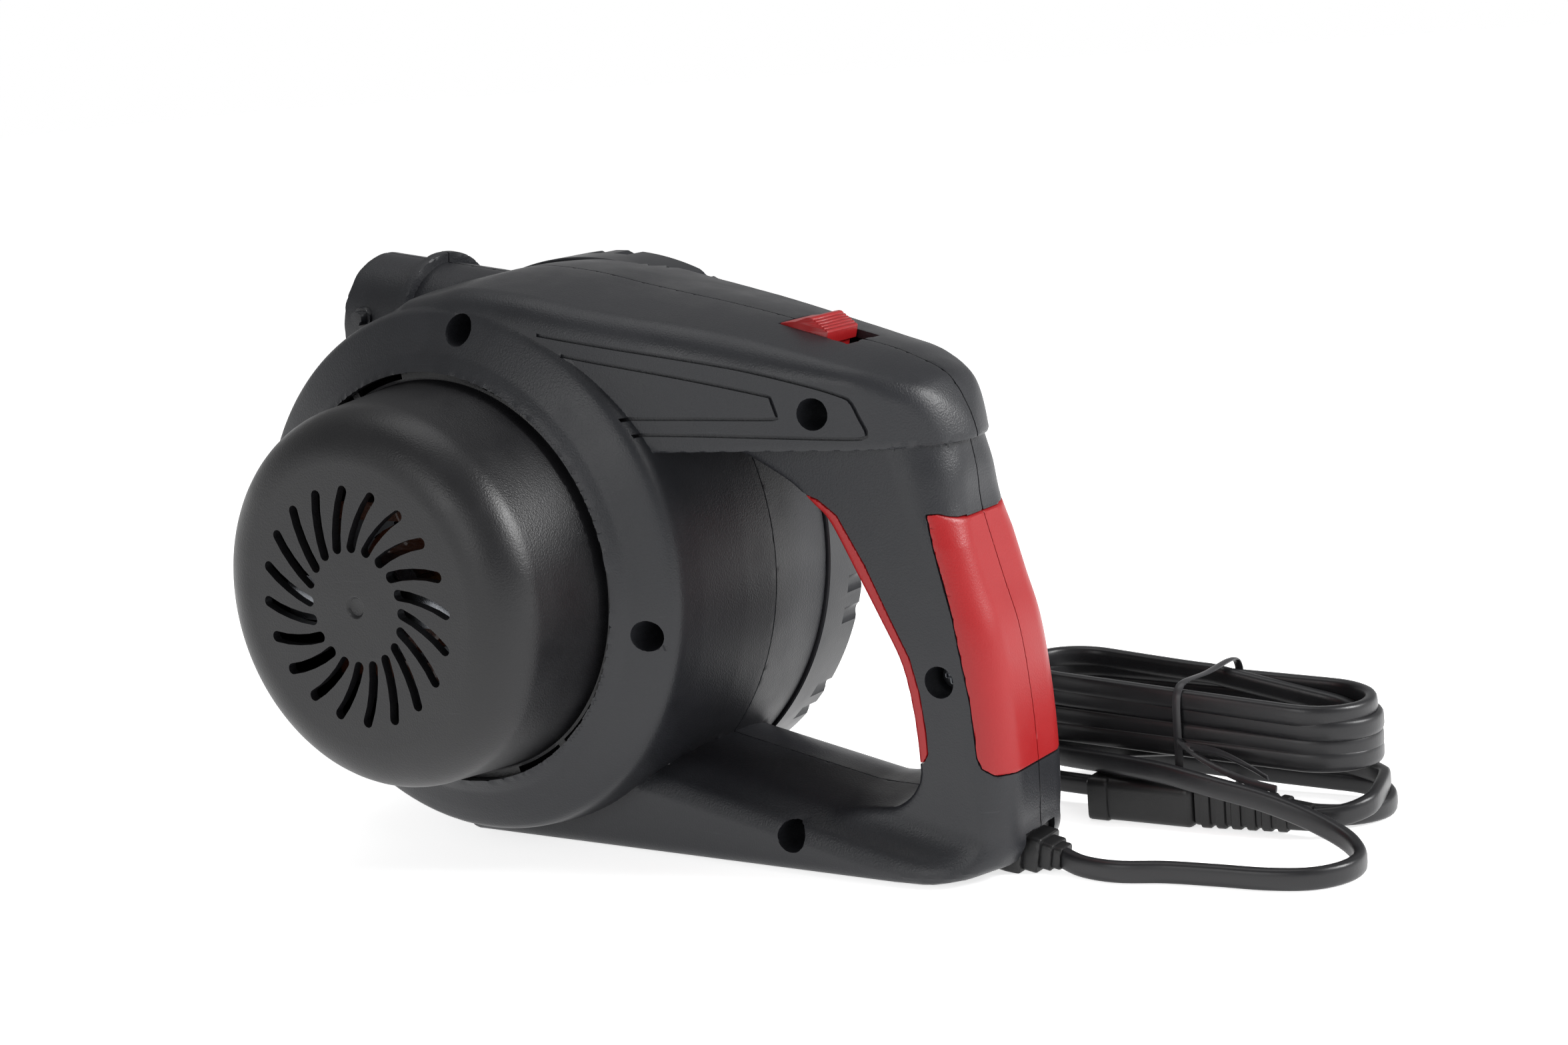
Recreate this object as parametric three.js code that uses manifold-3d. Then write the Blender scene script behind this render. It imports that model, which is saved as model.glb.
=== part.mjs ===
// A hand-held electric blower with a flat twin mains cord, in millimetres, +Z up.
// Two clamshell housing halves meet on the seam plane and hold a motor, a fan and a slide switch.
// The model is drawn about the motor axis (Y) where it crosses the seam plane, then set on its base.
import * as THREE from "three";
import { mergeVertices } from "three/addons/utils/BufferGeometryUtils.js";
import Module from "manifold-3d";

const wasm = await Module();
wasm.setup();

// ---------------------------------------------------------------- driving dimensions
const AXIS_HEIGHT = 78.5; // motor axis above the surface it stands on
const CENTRE_X = 37.4; // middle of the body's length, measured from the motor axis
const CENTRE_Y = -18.4; // middle of its width, measured from the seam plane
const WALL = 2.6; // moulded wall of the housings
const GAP = 0.3; // clearance between neighbouring pieces
const HALF_GAP = GAP / 2;

const DRUM_R = 77.2; // drum at the seam
const DRUM_RIM_R = 72; // drum where the near rim turns in
const RIM_Y = -38; // start of the near end face
const BEVEL_R = 60.5; // where the end face meets the bevel round the opening
const BEVEL_Y = -43.6;
const OPENING_R = 56.2; // opening that the motor cap stands in
const OPENING_Y = -46.6;
const FAR_JOINT_Y = 24.4; // joint between the far housing and the intake cover

const CAP_FOOT_R = 53.6;
const CAP_SHOULDER_R = 51.6;
const CAP_FACE_Y = -80.8;
const CAP_CORNER_R = 14;
const FLANGE_Y = -43.2; // outer face of the cap's flange
const FLANGE_T = 2;
const SWIRL_COUNT = 20;
const SWIRL_OUTER_R = 30.7;
const SWIRL_INNER_R = 16;
const SWIRL_TWIST = 14.8; // degrees between a slot's two ends
const SWIRL_WIDTH = 3;
// Angular spans in degrees of the arc vents in the flange.
const FLANGE_VENTS = [[100, 117.5], [120, 137.5], [163, 188], [212, 237], [44.8, 70.5], [-5.4, 19.1],
  [-51.3, -31.6], [-71.4, -54.1]];

const COVER_R = 78.4; // intake cover
const COVER_Y = 44;
const INTAKE_R = 34; // opening in the intake cover
const SCALLOP_GROUPS = 14;

const ARM_UNDERSIDE = 33.6;
const HANDLE_HALF = 19; // half width of the grip
const BASE_HALF = 27.5;
const GRIP_T = 2.4; // thickness of the red grip panels

const NOZZLE_R = 18;
const NOZZLE_BORE_R = 15.8;
const NOZZLE_TILT = 7.9; // degrees that the nozzle points upwards
const NOZZLE_END = [-52.3, 65.8]; // middle of its mouth, X and Z
const COLLAR_R = 20.8;
const COLLAR_AT = 20.5; // behind the mouth
const COLLAR_T = 3;
const NOZZLE_RELIEF_R = 22.6; // room round the mouth for a hose end
const NOZZLE_LENGTH = 50;

const SLOT_X = [89, 110.6]; // switch slot, fore and aft
const SLOT_HALF = 7.7;
const SLOPE = -14; // degrees that the top falls at the switch
const TOP_AT_SLOT = [99.8, 61]; // a point on the top surface at the middle of the slot

const SCREW_HOLE_R = 4.1;
const SCREWS = { drum_top: [9.8, 66.6], drum_rear: [63.8, -13], drum_front: [-62, -20], arm: [109.3, 43],
  handle: [136.8, -25.8], base: [93.6, -68.4] };

const SHAFT_R = 4;
const STATOR_R = 38;
const BORE_R = 21.2; // stator bore
const ARMATURE_R = 20.6;
const IMPELLER_R = 49;

const CORD_W = 5.6; // flat twin cord, width and thickness
const CORD_T = 3.5;
const FLOOR = -AXIS_HEIGHT;

// ---------------------------------------------------------------- solids
const SMOOTH = 40; // sides of a large round piece
const ROUND = 16; // sides of a small one
const BIG = 400;

function solid(geometry) {
  const bare = geometry.index ? geometry.toNonIndexed() : geometry.clone();
  bare.deleteAttribute("normal");
  bare.deleteAttribute("uv");
  const merged = mergeVertices(bare, 1e-4);
  const mesh = new wasm.Mesh({
    numProp: 3,
    vertProperties: new Float32Array(merged.attributes.position.array),
    triVerts: new Uint32Array(merged.index.array),
  });
  return new wasm.Manifold(mesh);
}

function geometryOf(manifold) {
  const mesh = manifold.getMesh();
  const geometry = new THREE.BufferGeometry();
  geometry.setAttribute("position", new THREE.BufferAttribute(new Float32Array(mesh.vertProperties), 3));
  geometry.setIndex(new THREE.BufferAttribute(new Uint32Array(mesh.triVerts), 1));
  geometry.computeVertexNormals();
  return geometry;
}

const shapeOf = (points) => new THREE.Shape(points.map(([x, y]) => new THREE.Vector2(x, y)));

// A side outline (X, Z) drawn out between two Y values.
function alongY(points, y0, y1) {
  const geometry = new THREE.ExtrudeGeometry(shapeOf(points), { depth: y1 - y0, bevelEnabled: false });
  geometry.translate(0, 0, -y1);
  geometry.rotateX(Math.PI / 2);
  return solid(geometry);
}

// A cross-section (Y, Z) drawn out between two X values.
function alongX(points, x0, x1) {
  const geometry = new THREE.ExtrudeGeometry(shapeOf(points), { depth: x1 - x0, bevelEnabled: false });
  const axes = new THREE.Matrix4().makeBasis(
    new THREE.Vector3(0, 1, 0), new THREE.Vector3(0, 0, 1), new THREE.Vector3(1, 0, 0));
  geometry.applyMatrix4(axes);
  geometry.translate(x0, 0, 0);
  return geometry;
}

// A skin through rings of [x, y, z] points, all with the same count, closed by a fan at each end.
function loft(rings) {
  const count = rings[0].length;
  const positions = [];
  const corner = (ring, i) => rings[ring][(i + count) % count];
  const triangle = (a, b, c) => positions.push(...a, ...b, ...c);
  for (let ring = 0; ring + 1 < rings.length; ring++) {
    for (let i = 0; i < count; i++) {
      triangle(corner(ring, i), corner(ring, i + 1), corner(ring + 1, i + 1));
      triangle(corner(ring, i), corner(ring + 1, i + 1), corner(ring + 1, i));
    }
  }
  const last = rings.length - 1;
  for (let i = 1; i + 1 < count; i++) {
    triangle(corner(0, 0), corner(0, i + 1), corner(0, i));
    triangle(corner(last, 0), corner(last, i), corner(last, i + 1));
  }
  const make = () => {
    const geometry = new THREE.BufferGeometry();
    geometry.setAttribute("position", new THREE.Float32BufferAttribute(positions, 3));
    return solid(geometry);
  };
  const made = make();
  if (made.volume() > 0) return made;
  for (let i = 0; i < positions.length; i += 9) {
    for (let k = 0; k < 3; k++) {
      [positions[i + 3 + k], positions[i + 6 + k]] = [positions[i + 6 + k], positions[i + 3 + k]];
    }
  }
  return make();
}

// A plan outline (X, Y) drawn up between two Z values.
function alongZ(points, z0, z1) {
  const geometry = new THREE.ExtrudeGeometry(shapeOf(points), { depth: z1 - z0, bevelEnabled: false });
  geometry.translate(0, 0, z0);
  return solid(geometry);
}

// A profile of [radius, y] points turned about the motor axis.
function turned(profile, sides = SMOOTH) {
  const points = profile.map(([r, y]) => new THREE.Vector2(r, y));
  const made = solid(new THREE.LatheGeometry(points, sides));
  if (made.volume() > 0) return made;
  return solid(new THREE.LatheGeometry(points.reverse(), sides));
}

const ringY = (inner, outer, y0, y1, sides = SMOOTH) =>
  turned([[inner, y0], [outer, y0], [outer, y1], [inner, y1], [inner, y0]], sides);

const discY = (r, y0, y1, sides = SMOOTH) => turned([[0, y0], [r, y0], [r, y1], [0, y1]], sides);

function pinY(r, y0, y1, x = 0, z = 0, sides = ROUND) {
  const geometry = new THREE.CylinderGeometry(r, r, y1 - y0, sides);
  geometry.translate(x, (y0 + y1) / 2, z);
  return solid(geometry);
}

function block(x0, x1, y0, y1, z0, z1) {
  const geometry = new THREE.BoxGeometry(x1 - x0, y1 - y0, z1 - z0);
  geometry.translate((x0 + x1) / 2, (y0 + y1) / 2, (z0 + z1) / 2);
  return solid(geometry);
}

const turn = (degrees) => (degrees * Math.PI) / 180;
const polar = (r, degrees) => [r * Math.cos(turn(degrees)), r * Math.sin(turn(degrees))];

// A value read off a table of [position, value] pairs, in order of position.
function at(table, position) {
  const next = table.findIndex(([p]) => p >= position);
  if (next <= 0) return table[next < 0 ? table.length - 1 : 0][1];
  const [p0, v0] = table[next - 1];
  const [p1, v1] = table[next];
  return v0 + ((v1 - v0) * (position - p0)) / (p1 - p0);
}

// ---------------------------------------------------------------- the frame: arm, grip and base
const ARM_TOP = [[-14, 75.9], [-4, 77.6], [7.6, 79], [26, 77], [42.5, 73.5], [65.5, 69], [83, 65.3],
  [98, 61.5], [110.6, 58.4], [119.7, 56.1], [126.3, 53.7], [131, 51.8], [134, 50], [137.4, 45.8], [139.6, 41.6],
  [141.6, 37.4], [143, 34.6]]; // X, Z of the seam along the top
const ARM_HALF = [[25, 38.4], [50, 36.5], [81, 30.5], [109, 25.5], [119, 23.6], [126, 20.8], [131, 17.8],
  [137, 13], [141, 7.4], [143, 3]]; // X, half width
const CREASE_DROP = 3.2; // the top is this much lower at its long edges than on the seam
const TOP_FILLET = 8;

function armSection(x, inwards) {
  const top = at(ARM_TOP, x) - inwards;
  const half = Math.max(at(ARM_HALF, x) - inwards, 0.4);
  const low = ARM_UNDERSIDE + inwards;
  const room = top - low;
  const drop = Math.min(CREASE_DROP, room * 0.2);
  const fillet = Math.min(TOP_FILLET, half * 0.5, (room - drop) * 0.6);
  const side = [[half, low], [half, top - drop - fillet]];
  for (const angle of [45, 90]) {
    side.push([half - fillet * (1 - Math.cos(turn(angle))), top - drop - fillet * (1 - Math.sin(turn(angle)))]);
  }
  side.push([(half - fillet) * 0.55, top - drop * 0.3]);
  const other = side.slice().reverse().map(([y, z]) => [-y, z]);
  return [...side, [0, top], ...other].map(([y, z]) => [x, y, z]);
}

function armSolid(inwards) {
  const stations = [...new Set([...ARM_TOP, ...ARM_HALF].map(([x]) => x))].sort((a, b) => a - b);
  const end = 143 - inwards;
  const kept = stations.filter((x, i) => x < end && (inwards === 0 || i % 2 === 0));
  return loft([...kept, end].map((x) => armSection(x, inwards)));
}

// The grip from the base up to the arm: height, front edge, rear edge.
const GRIP_FRONT = [[-72, 100], [-64, 107], [-61.5, 113], [-60, 121], [-56.5, 126], [-51.7, 128.9], [-47, 129],
  [-39.5, 128.7], [-29, 127.4], [-20.5, 125.2], [-10.5, 120.3], [1.2, 114.3], [14, 107.5], [18.5, 103],
  [24, 96.5], [30, 85.5], [34, 77], [44, 66]];
const GRIP_REAR = [[-72, 149], [-66.5, 152.2], [-50.4, 153.2], [-32.6, 152.4], [-15.1, 150.3], [-2, 146.6],
  [14.3, 142.1], [19, 141.4], [26, 141.2], [34, 142.5], [44, 139]];

function gripSection(z, inwards) {
  const [front, rear] = [at(GRIP_FRONT, z) + inwards, at(GRIP_REAR, z) - inwards];
  const half = HANDLE_HALF - inwards;
  const corners = [[front, -1, 5], [rear, 1, 11]];
  const quarter = [];
  for (const [x, way, radius] of corners) {
    const r = Math.max(radius - inwards, 1);
    for (const angle of [0, 45, 90]) {
      const a = turn(way < 0 ? angle : 90 - angle);
      quarter.push([x - way * r * (1 - Math.cos(a)), half - r * (1 - Math.sin(a))]);
    }
  }
  return [...quarter, ...quarter.slice().reverse().map(([x, y]) => [x, -y])].map(([x, y]) => [x, y, z]);
}

function gripSolid(inwards) {
  const heights = [...new Set([...GRIP_FRONT, ...GRIP_REAR].map(([z]) => z))].sort((a, b) => a - b);
  const kept = heights.filter((z, i) => inwards < WALL || i % 2 === 0);
  return loft(kept.map((z) => gripSection(z, inwards)));
}

// The base: a side outline cut to its plan and to a crowned top that falls to the rear.
const BASE_SIDE = [[-12, FLOOR], [134, FLOOR], [141, -76.6], [147, -73.5], [151.4, -69], [152.4, -64],
  [150, -44], [-12, -30]];
const BASE_HALF_PLAN = [[-16, BASE_HALF], [124, BASE_HALF], [132, 26.8], [139, 24.6], [145, 20.6], [149.6, 15],
  [152.3, 8], [153.3, 0]];
const BASE_CROWN = [[0, 0], [10, -0.8], [18, -3], [23.5, -6.4], [27.5, -11], [BASE_HALF + 1, -13], [40, -60]];
const BASE_FOOT = [[0, FLOOR], [23, FLOOR], [25.7, FLOOR + 1.2], [27.2, FLOOR + 3.4], [BASE_HALF, FLOOR + 6],
  [40, FLOOR + 40], [0, FLOOR + 80]];

const bothSides = (half) => [...half, ...half.slice().reverse().filter(([a]) => a !== 0).map(([a, b]) => [-a, b])];
const bothWays = (half) => [...half, ...half.slice().reverse().filter(([, b]) => b !== 0).map(([a, b]) => [a, -b])];

function baseSolid(inwards) {
  const scale = 1 - inwards / BASE_HALF;
  const side = alongY(BASE_SIDE, -BASE_HALF + inwards, BASE_HALF - inwards);
  const plan = alongZ(bothWays(BASE_HALF_PLAN.map(([x, y]) => [x > 0 ? x - inwards : x, y * scale])), -100, 0);
  const crown = alongX(bothSides(BASE_CROWN), -120, 120);
  crown.rotateY(turn(11.03));
  crown.translate(59, 0, -50.2 - inwards);
  const foot = solid(alongX(bothSides(BASE_FOOT), -40, 200));
  return side.intersect(plan).intersect(solid(crown)).intersect(foot.translate([0, 0, inwards]));
}

// ---------------------------------------------------------------- housings
const drumOuter = () => turned([[0, FAR_JOINT_Y - HALF_GAP], [DRUM_R, FAR_JOINT_Y - HALF_GAP], [DRUM_R, 0],
  [75, -20], [73.7, -31], [73.1, -35], [DRUM_RIM_R, RIM_Y], [69.6, -39.8], [66, -41.2], [BEVEL_R, BEVEL_Y],
  [OPENING_R, OPENING_Y], [0, OPENING_Y]]);
const drumInner = () => turned([[0, FAR_JOINT_Y + 5], [DRUM_R - WALL, FAR_JOINT_Y + 5], [DRUM_R - WALL, 0],
  [75 - WALL, -20], [70.2, -33], [66, -38.2], [61, -41], [58.2, -41], [58.2, -43.5], [OPENING_R, -43.5],
  [OPENING_R, -60], [0, -60]]);

function nozzleTube(radius, from, to) {
  const length = to - from;
  const geometry = new THREE.CylinderGeometry(radius, radius, length, 24);
  geometry.rotateZ(Math.PI / 2);
  geometry.translate(from + length / 2, 0, 0);
  geometry.rotateY(turn(NOZZLE_TILT));
  geometry.translate(NOZZLE_END[0], 0, NOZZLE_END[1]);
  return solid(geometry);
}

function peg(side) {
  const at = 7.6;
  const stem = new THREE.CylinderGeometry(2, 2, 4, 20);
  stem.translate(0, side * (NOZZLE_R + 1.4), 0);
  const boss = new THREE.CylinderGeometry(3, 3, 2, 20);
  boss.translate(0, side * (NOZZLE_R - 0.2), 0);
  return [stem, boss].map((geometry) => {
    geometry.translate(at, 0, 2.4);
    geometry.rotateY(turn(NOZZLE_TILT));
    geometry.translate(NOZZLE_END[0], 0, NOZZLE_END[1]);
    return solid(geometry);
  });
}

// The red panels fill zones cut from the handle: one round the rear, one strip along the finger side.
const REAR_ZONE = [[135.3, 16.6], [138.6, 2.5], [141.5, -9.2], [143.2, -19.3], [145, -31.2], [145.9, -45],
  [147, -48.6], [160, -50.6], [170, -50.6], [165, 14.6], [142, 14.6]];
const FRONT_ZONE = [[100.5, 20.6], [106, 19.4], [109.3, 15.7], [116.6, 3.1], [122.9, -10.3], [127.9, -20.4],
  [130.1, -29], [131.3, -39], [131.6, -46.6], [130, -47.8], [124, -47.8], [110, -30], [95, 10]];

function switchBox(halfWidth, fore, aft, height) {
  const geometry = new THREE.BoxGeometry(aft - fore, 2 * halfWidth, height);
  geometry.translate((fore + aft) / 2 - TOP_AT_SLOT[0], 0, 0);
  geometry.rotateY(turn(-SLOPE));
  geometry.translate(TOP_AT_SLOT[0], 0, TOP_AT_SLOT[1]);
  return solid(geometry);
}

function wellAndBoss(name) {
  const [x, z] = SCREWS[name];
  return {
    boss: pinY(SCREW_HOLE_R + 2.2, -60, 40, x, z, 12),
    well: pinY(SCREW_HOLE_R, -60, -9, x, z, 16),
    shank: pinY(1.9, -12, 14, x, z, 8),
  };
}

function housings() {
  const drum = drumOuter();
  const farClear = discY(COVER_R + 0.6, FAR_JOINT_Y - HALF_GAP, BIG);
  const farWall = discY(COVER_R + 0.6 + WALL, FAR_JOINT_Y - HALF_GAP - WALL, BIG);
  const relief = nozzleTube(NOZZLE_RELIEF_R, -40, COLLAR_AT - 1);
  const reliefWall = nozzleTube(NOZZLE_RELIEF_R + WALL, -40, COLLAR_AT - 1 + WALL);
  const rearZone = alongY(REAR_ZONE, -60, 60);
  const frontZone = alongY(FRONT_ZONE, -60, 60);
  const above = block(-BIG, BIG, -60, 60, ARM_UNDERSIDE + 0.02, BIG);
  const grip = gripSolid(0).subtract(above);
  const gripCore = gripSolid(GRIP_T).subtract(above);
  const gripBody = grip.subtract(rearZone).subtract(frontZone).add(gripCore);
  const tube = nozzleTube(NOZZLE_R, 0, NOZZLE_LENGTH).subtract(discY(70, -60, 24))
    .add(nozzleTube(COLLAR_R, COLLAR_AT, COLLAR_AT + COLLAR_T));
  const frame = armSolid(0).add(baseSolid(0)).add(gripBody).subtract(farClear);
  const outer = drum.add(frame).subtract(relief).add(tube).subtract(farClear);
  const hollow = drumInner().add(armSolid(WALL).subtract(farWall)).add(baseSolid(WALL).subtract(farWall))
    .add(gripSolid(GRIP_T + WALL).subtract(above)).subtract(reliefWall).subtract(tube);
  let shell = outer.subtract(hollow);
  for (const name of Object.keys(SCREWS)) {
    const { boss, well, shank } = wellAndBoss(name);
    shell = shell.add(boss.intersect(outer)).subtract(well).subtract(shank);
  }
  for (const side of [-1, 1]) for (const piece of peg(side)) shell = shell.add(piece);
  shell = shell.subtract(nozzleTube(NOZZLE_BORE_R, -20, NOZZLE_LENGTH + 6))
    .subtract(switchBox(SLOT_HALF, SLOT_X[0], SLOT_X[1], 14))
    .subtract(exitBox(30, 15.4, 12.4, 0));
  const near = shell.intersect(block(-BIG, BIG, -BIG, -HALF_GAP, -BIG, BIG));
  const far = shell.intersect(block(-BIG, BIG, HALF_GAP, BIG, -BIG, BIG));
  return { near: largest(near), far: largest(far), grip, gripCore: gripSolid(GRIP_T - GAP), rearZone, frontZone };
}

// Booleans on thin walls can leave crumbs; the housing is the largest body.
function largest(manifold) {
  return manifold.decompose().sort((a, b) => b.volume() - a.volume())[0];
}

// The cord leaves through an opening low on the rear corner, tilted down by this angle.
const CORD_EXIT = [146.4, -72.6];
const EXIT_TILT = 10;

function exitBox(length, width, height, along) {
  const geometry = new THREE.BoxGeometry(length, width, height);
  geometry.translate(along, 0, 0);
  geometry.rotateY(turn(EXIT_TILT));
  geometry.translate(CORD_EXIT[0], 0, CORD_EXIT[1]);
  return solid(geometry);
}

// ---------------------------------------------------------------- covers
function motorCap() {
  const corner = [];
  for (const angle of [0, 22.5, 45, 67.5, 90]) {
    corner.push([CAP_SHOULDER_R - CAP_CORNER_R * (1 - Math.cos(turn(angle))),
      CAP_FACE_Y + CAP_CORNER_R * (1 - Math.sin(turn(angle)))]);
  }
  const flangeR = CAP_FOOT_R + 4.2;
  const back = FLANGE_Y + FLANGE_T;
  let cap = turned([[flangeR, back], [flangeR, FLANGE_Y], [CAP_FOOT_R, FLANGE_Y], ...corner, [0, CAP_FACE_Y],
    [0, CAP_FACE_Y + WALL], [36, CAP_FACE_Y + WALL], [44, CAP_FACE_Y + 6], [CAP_SHOULDER_R - WALL, CAP_FACE_Y + 15],
    [CAP_FOOT_R - WALL, back], [flangeR, back]]);
  for (let i = 0; i < SWIRL_COUNT; i++) cap = cap.subtract(swirlSlot((360 / SWIRL_COUNT) * i));
  for (const [from, to] of FLANGE_VENTS) cap = cap.subtract(arcSlot(CAP_FOOT_R + 0.3, flangeR + 2, from, to));
  return cap.subtract(pinY(2.1, CAP_FACE_Y - 1, CAP_FACE_Y + 0.8, 0, 0, 16));
}

// One slot of the swirl: a ribbon whose middle line turns a little as it runs inwards.
function swirlSlot(start) {
  const steps = 2;
  const middle = [];
  for (let i = 0; i <= steps; i++) {
    const t = i / steps;
    const r = SWIRL_OUTER_R + (SWIRL_INNER_R - SWIRL_OUTER_R) * t;
    middle.push(polar(r, start + SWIRL_TWIST * t));
  }
  const edge = (way) => middle.map(([x, z], i) => {
    const [ax, az] = middle[Math.max(i - 1, 0)];
    const [bx, bz] = middle[Math.min(i + 1, steps)];
    const reach = (way * SWIRL_WIDTH) / 2 / Math.hypot(bx - ax, bz - az);
    return [x - (bz - az) * reach, z + (bx - ax) * reach];
  });
  const [y0, y1] = [CAP_FACE_Y - 3, CAP_FACE_Y + 6];
  return alongY([...edge(1), ...edge(-1).reverse()], y0, y1)
    .add(pinY(SWIRL_WIDTH / 2, y0, y1, ...middle[0], 5))
    .add(pinY(SWIRL_WIDTH / 2, y0, y1, ...middle[steps], 5));
}

function arcSlot(inner, outer, from, to) {
  const steps = 3;
  const arc = (r) => [...Array(steps + 1).keys()].map((i) => polar(r, from + ((to - from) * i) / steps));
  return alongY([...arc(outer), ...arc(inner).reverse()], FLANGE_Y - 3, FLANGE_Y + FLANGE_T + 1);
}

// The intake cover: a shallow dish with grip notches round its rim and a round opening for the air.
function intakeCover() {
  const inner = COVER_R - WALL;
  let cover = turned([[INTAKE_R, 36], [INTAKE_R, 38.6], [60, 40.6], [68, COVER_Y], [76.8, COVER_Y],
    [COVER_R, COVER_Y - 1.6], [COVER_R, FAR_JOINT_Y + HALF_GAP], [inner, FAR_JOINT_Y + HALF_GAP],
    [inner, COVER_Y - WALL - 1], [68, COVER_Y - WALL], [60, 38], [INTAKE_R, 36]]);
  for (let i = 0; i < SCALLOP_GROUPS; i++) {
    for (const offset of [-11.5, -18.5]) {
      const [x, z] = polar(COVER_R + 1.4, (360 / SCALLOP_GROUPS) * i + offset);
      cover = cover.subtract(pinY(3, COVER_Y - 9, COVER_Y + 2, x, z, 6));
    }
  }
  return cover;
}

function intakeGrille() {
  let grille = ringY(INTAKE_R - 3, INTAKE_R - GAP, 35.2, 39.2, 32).add(discY(9, 36.2, 39.2, 16));
  for (const r of [16, 24]) grille = grille.add(ringY(r, r + 2.4, 36.7, 38.7, 24));
  for (let i = 0; i < 6; i++) {
    const spoke = new THREE.BoxGeometry(INTAKE_R - 8.5, 2.4, 2.4);
    spoke.translate((INTAKE_R - 8.5) / 2 + 6, 37.7, 0);
    spoke.rotateY(turn(60 * i));
    grille = grille.add(solid(spoke));
  }
  return grille;
}

// ---------------------------------------------------------------- motor and fan
const NEAR_BEARING_Y = -71;
const FAR_BEARING_Y = -22.5;
const CORE_Y = [-56, -30]; // laminations of the armature and the stator
const BRUSH_Y = -64; // middle of the commutator
const FAN_Y = -4; // back plate of the fan
const SEAT_R = SHAFT_R + 0.05; // what is pressed on the shaft

const motorShaft = () => pinY(SHAFT_R, -74.5, 22.5, 0, 0, ROUND);

function armatureCore() {
  let core = ringY(SEAT_R, ARMATURE_R, CORE_Y[0], CORE_Y[1], 36);
  for (let i = 0; i < 12; i++) {
    core = core.subtract(pinY(2.2, CORE_Y[0] - 1, CORE_Y[1] + 1, ...polar(ARMATURE_R - 3.8, 30 * i + 15), 6));
  }
  return core;
}

const windingHead = (y0, y1) => turned([[SEAT_R + 1.5, y0], [ARMATURE_R - 5, y0], [ARMATURE_R - 3, (y0 + y1) / 2],
  [ARMATURE_R - 3, y1], [SEAT_R + 1.5, y1], [SEAT_R + 1.5, y0]], 24);

function commutator() {
  let copper = ringY(SEAT_R, 11, BRUSH_Y - 3.2, BRUSH_Y + 3.2, 24);
  for (let i = 0; i < 12; i++) {
    copper = copper.subtract(pinY(0.4, BRUSH_Y - 4, BRUSH_Y + 4, ...polar(11, 30 * i), 4));
  }
  return copper;
}

// Field laminations: a block with a round bore and a window above and below each pole for the coils.
function statorCore() {
  const windows = [1, -1].map((side) => {
    const [low, high] = side > 0 ? [12.4, 24.4] : [-24.4, -12.4];
    return block(-26.2, 26.2, -90, 0, low, high).subtract(discY(BORE_R + 4.5, -90, 0, 40));
  });
  return discY(STATOR_R, CORE_Y[0], CORE_Y[1]).intersect(block(-33, 33, -90, 0, -33, 33))
    .subtract(discY(BORE_R, -90, 0, 48)).subtract(windows[0]).subtract(windows[1]);
}

// A field coil: two bars through a window and a head over each end of the laminations.
function fieldCoil(side) {
  const [low, high, head] = [14.2, 23.8, 19];
  const ends = [CORE_Y[0] - 6, CORE_Y[1] + 6];
  const upright = (x) => block(x, x + 3.2, ends[0], ends[1], low, high);
  const bridge = (y0, y1) => block(-25.6, 25.6, y0, y1, head, high);
  const coil = upright(22.4).add(upright(-25.6)).add(bridge(ends[0], CORE_Y[0] - GAP))
    .add(bridge(CORE_Y[1] + GAP, ends[1]));
  return side > 0 ? coil : coil.rotate([0, 180, 0]);
}

const bearing = (y) => ringY(SEAT_R, 9, y - 3.4, y + 3.4, 32);

// A bridge across one end of the motor: a seat for the bearing and two legs down to the laminations.
function bearingBridge(y, towards) {
  const [y0, y1] = towards > y ? [y - 3.4, y - 0.4] : [y + 0.4, y + 3.4];
  const [l0, l1] = towards > y ? [y0, towards] : [towards, y1];
  return ringY(9 + HALF_GAP, 12, y - 3.4, y + 3.4, 32)
    .add(block(-29.6, 29.6, y0, y1, -6, 6).subtract(discY(11, -90, 0, 32)))
    .add(block(26.4, 29.6, l0, l1, -6, 6)).add(block(-29.6, -26.4, l0, l1, -6, 6));
}

function brushHolder(side) {
  const holder = block(11.8, 26, BRUSH_Y - 3.4, BRUSH_Y + 3.4, -5, 5)
    .subtract(block(10, 24, BRUSH_Y - 2.2, BRUSH_Y + 2.2, -3.2, 3.2));
  return side > 0 ? holder : holder.rotate([0, 180, 0]);
}

function carbonBrush(side) {
  const brush = block(11.3, 20, BRUSH_Y - 1.9, BRUSH_Y + 1.9, -2.9, 2.9);
  return side > 0 ? brush : brush.rotate([0, 180, 0]);
}

// The partition between motor and fan, with the cradle that the laminations sit in.
function fanPlate() {
  let plate = ringY(15, 72.8, -12, -9.4).add(ringY(STATOR_R + GAP, STATOR_R + WALL, -36, -9.4))
    .subtract(nozzleTube(NOZZLE_RELIEF_R + WALL + 1, -40, NOZZLE_LENGTH + 4));
  for (const name of ["drum_top", "drum_rear", "drum_front"]) {
    plate = plate.subtract(pinY(SCREW_HOLE_R + 3, -20, 0, ...SCREWS[name], 12));
  }
  return plate;
}

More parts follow.
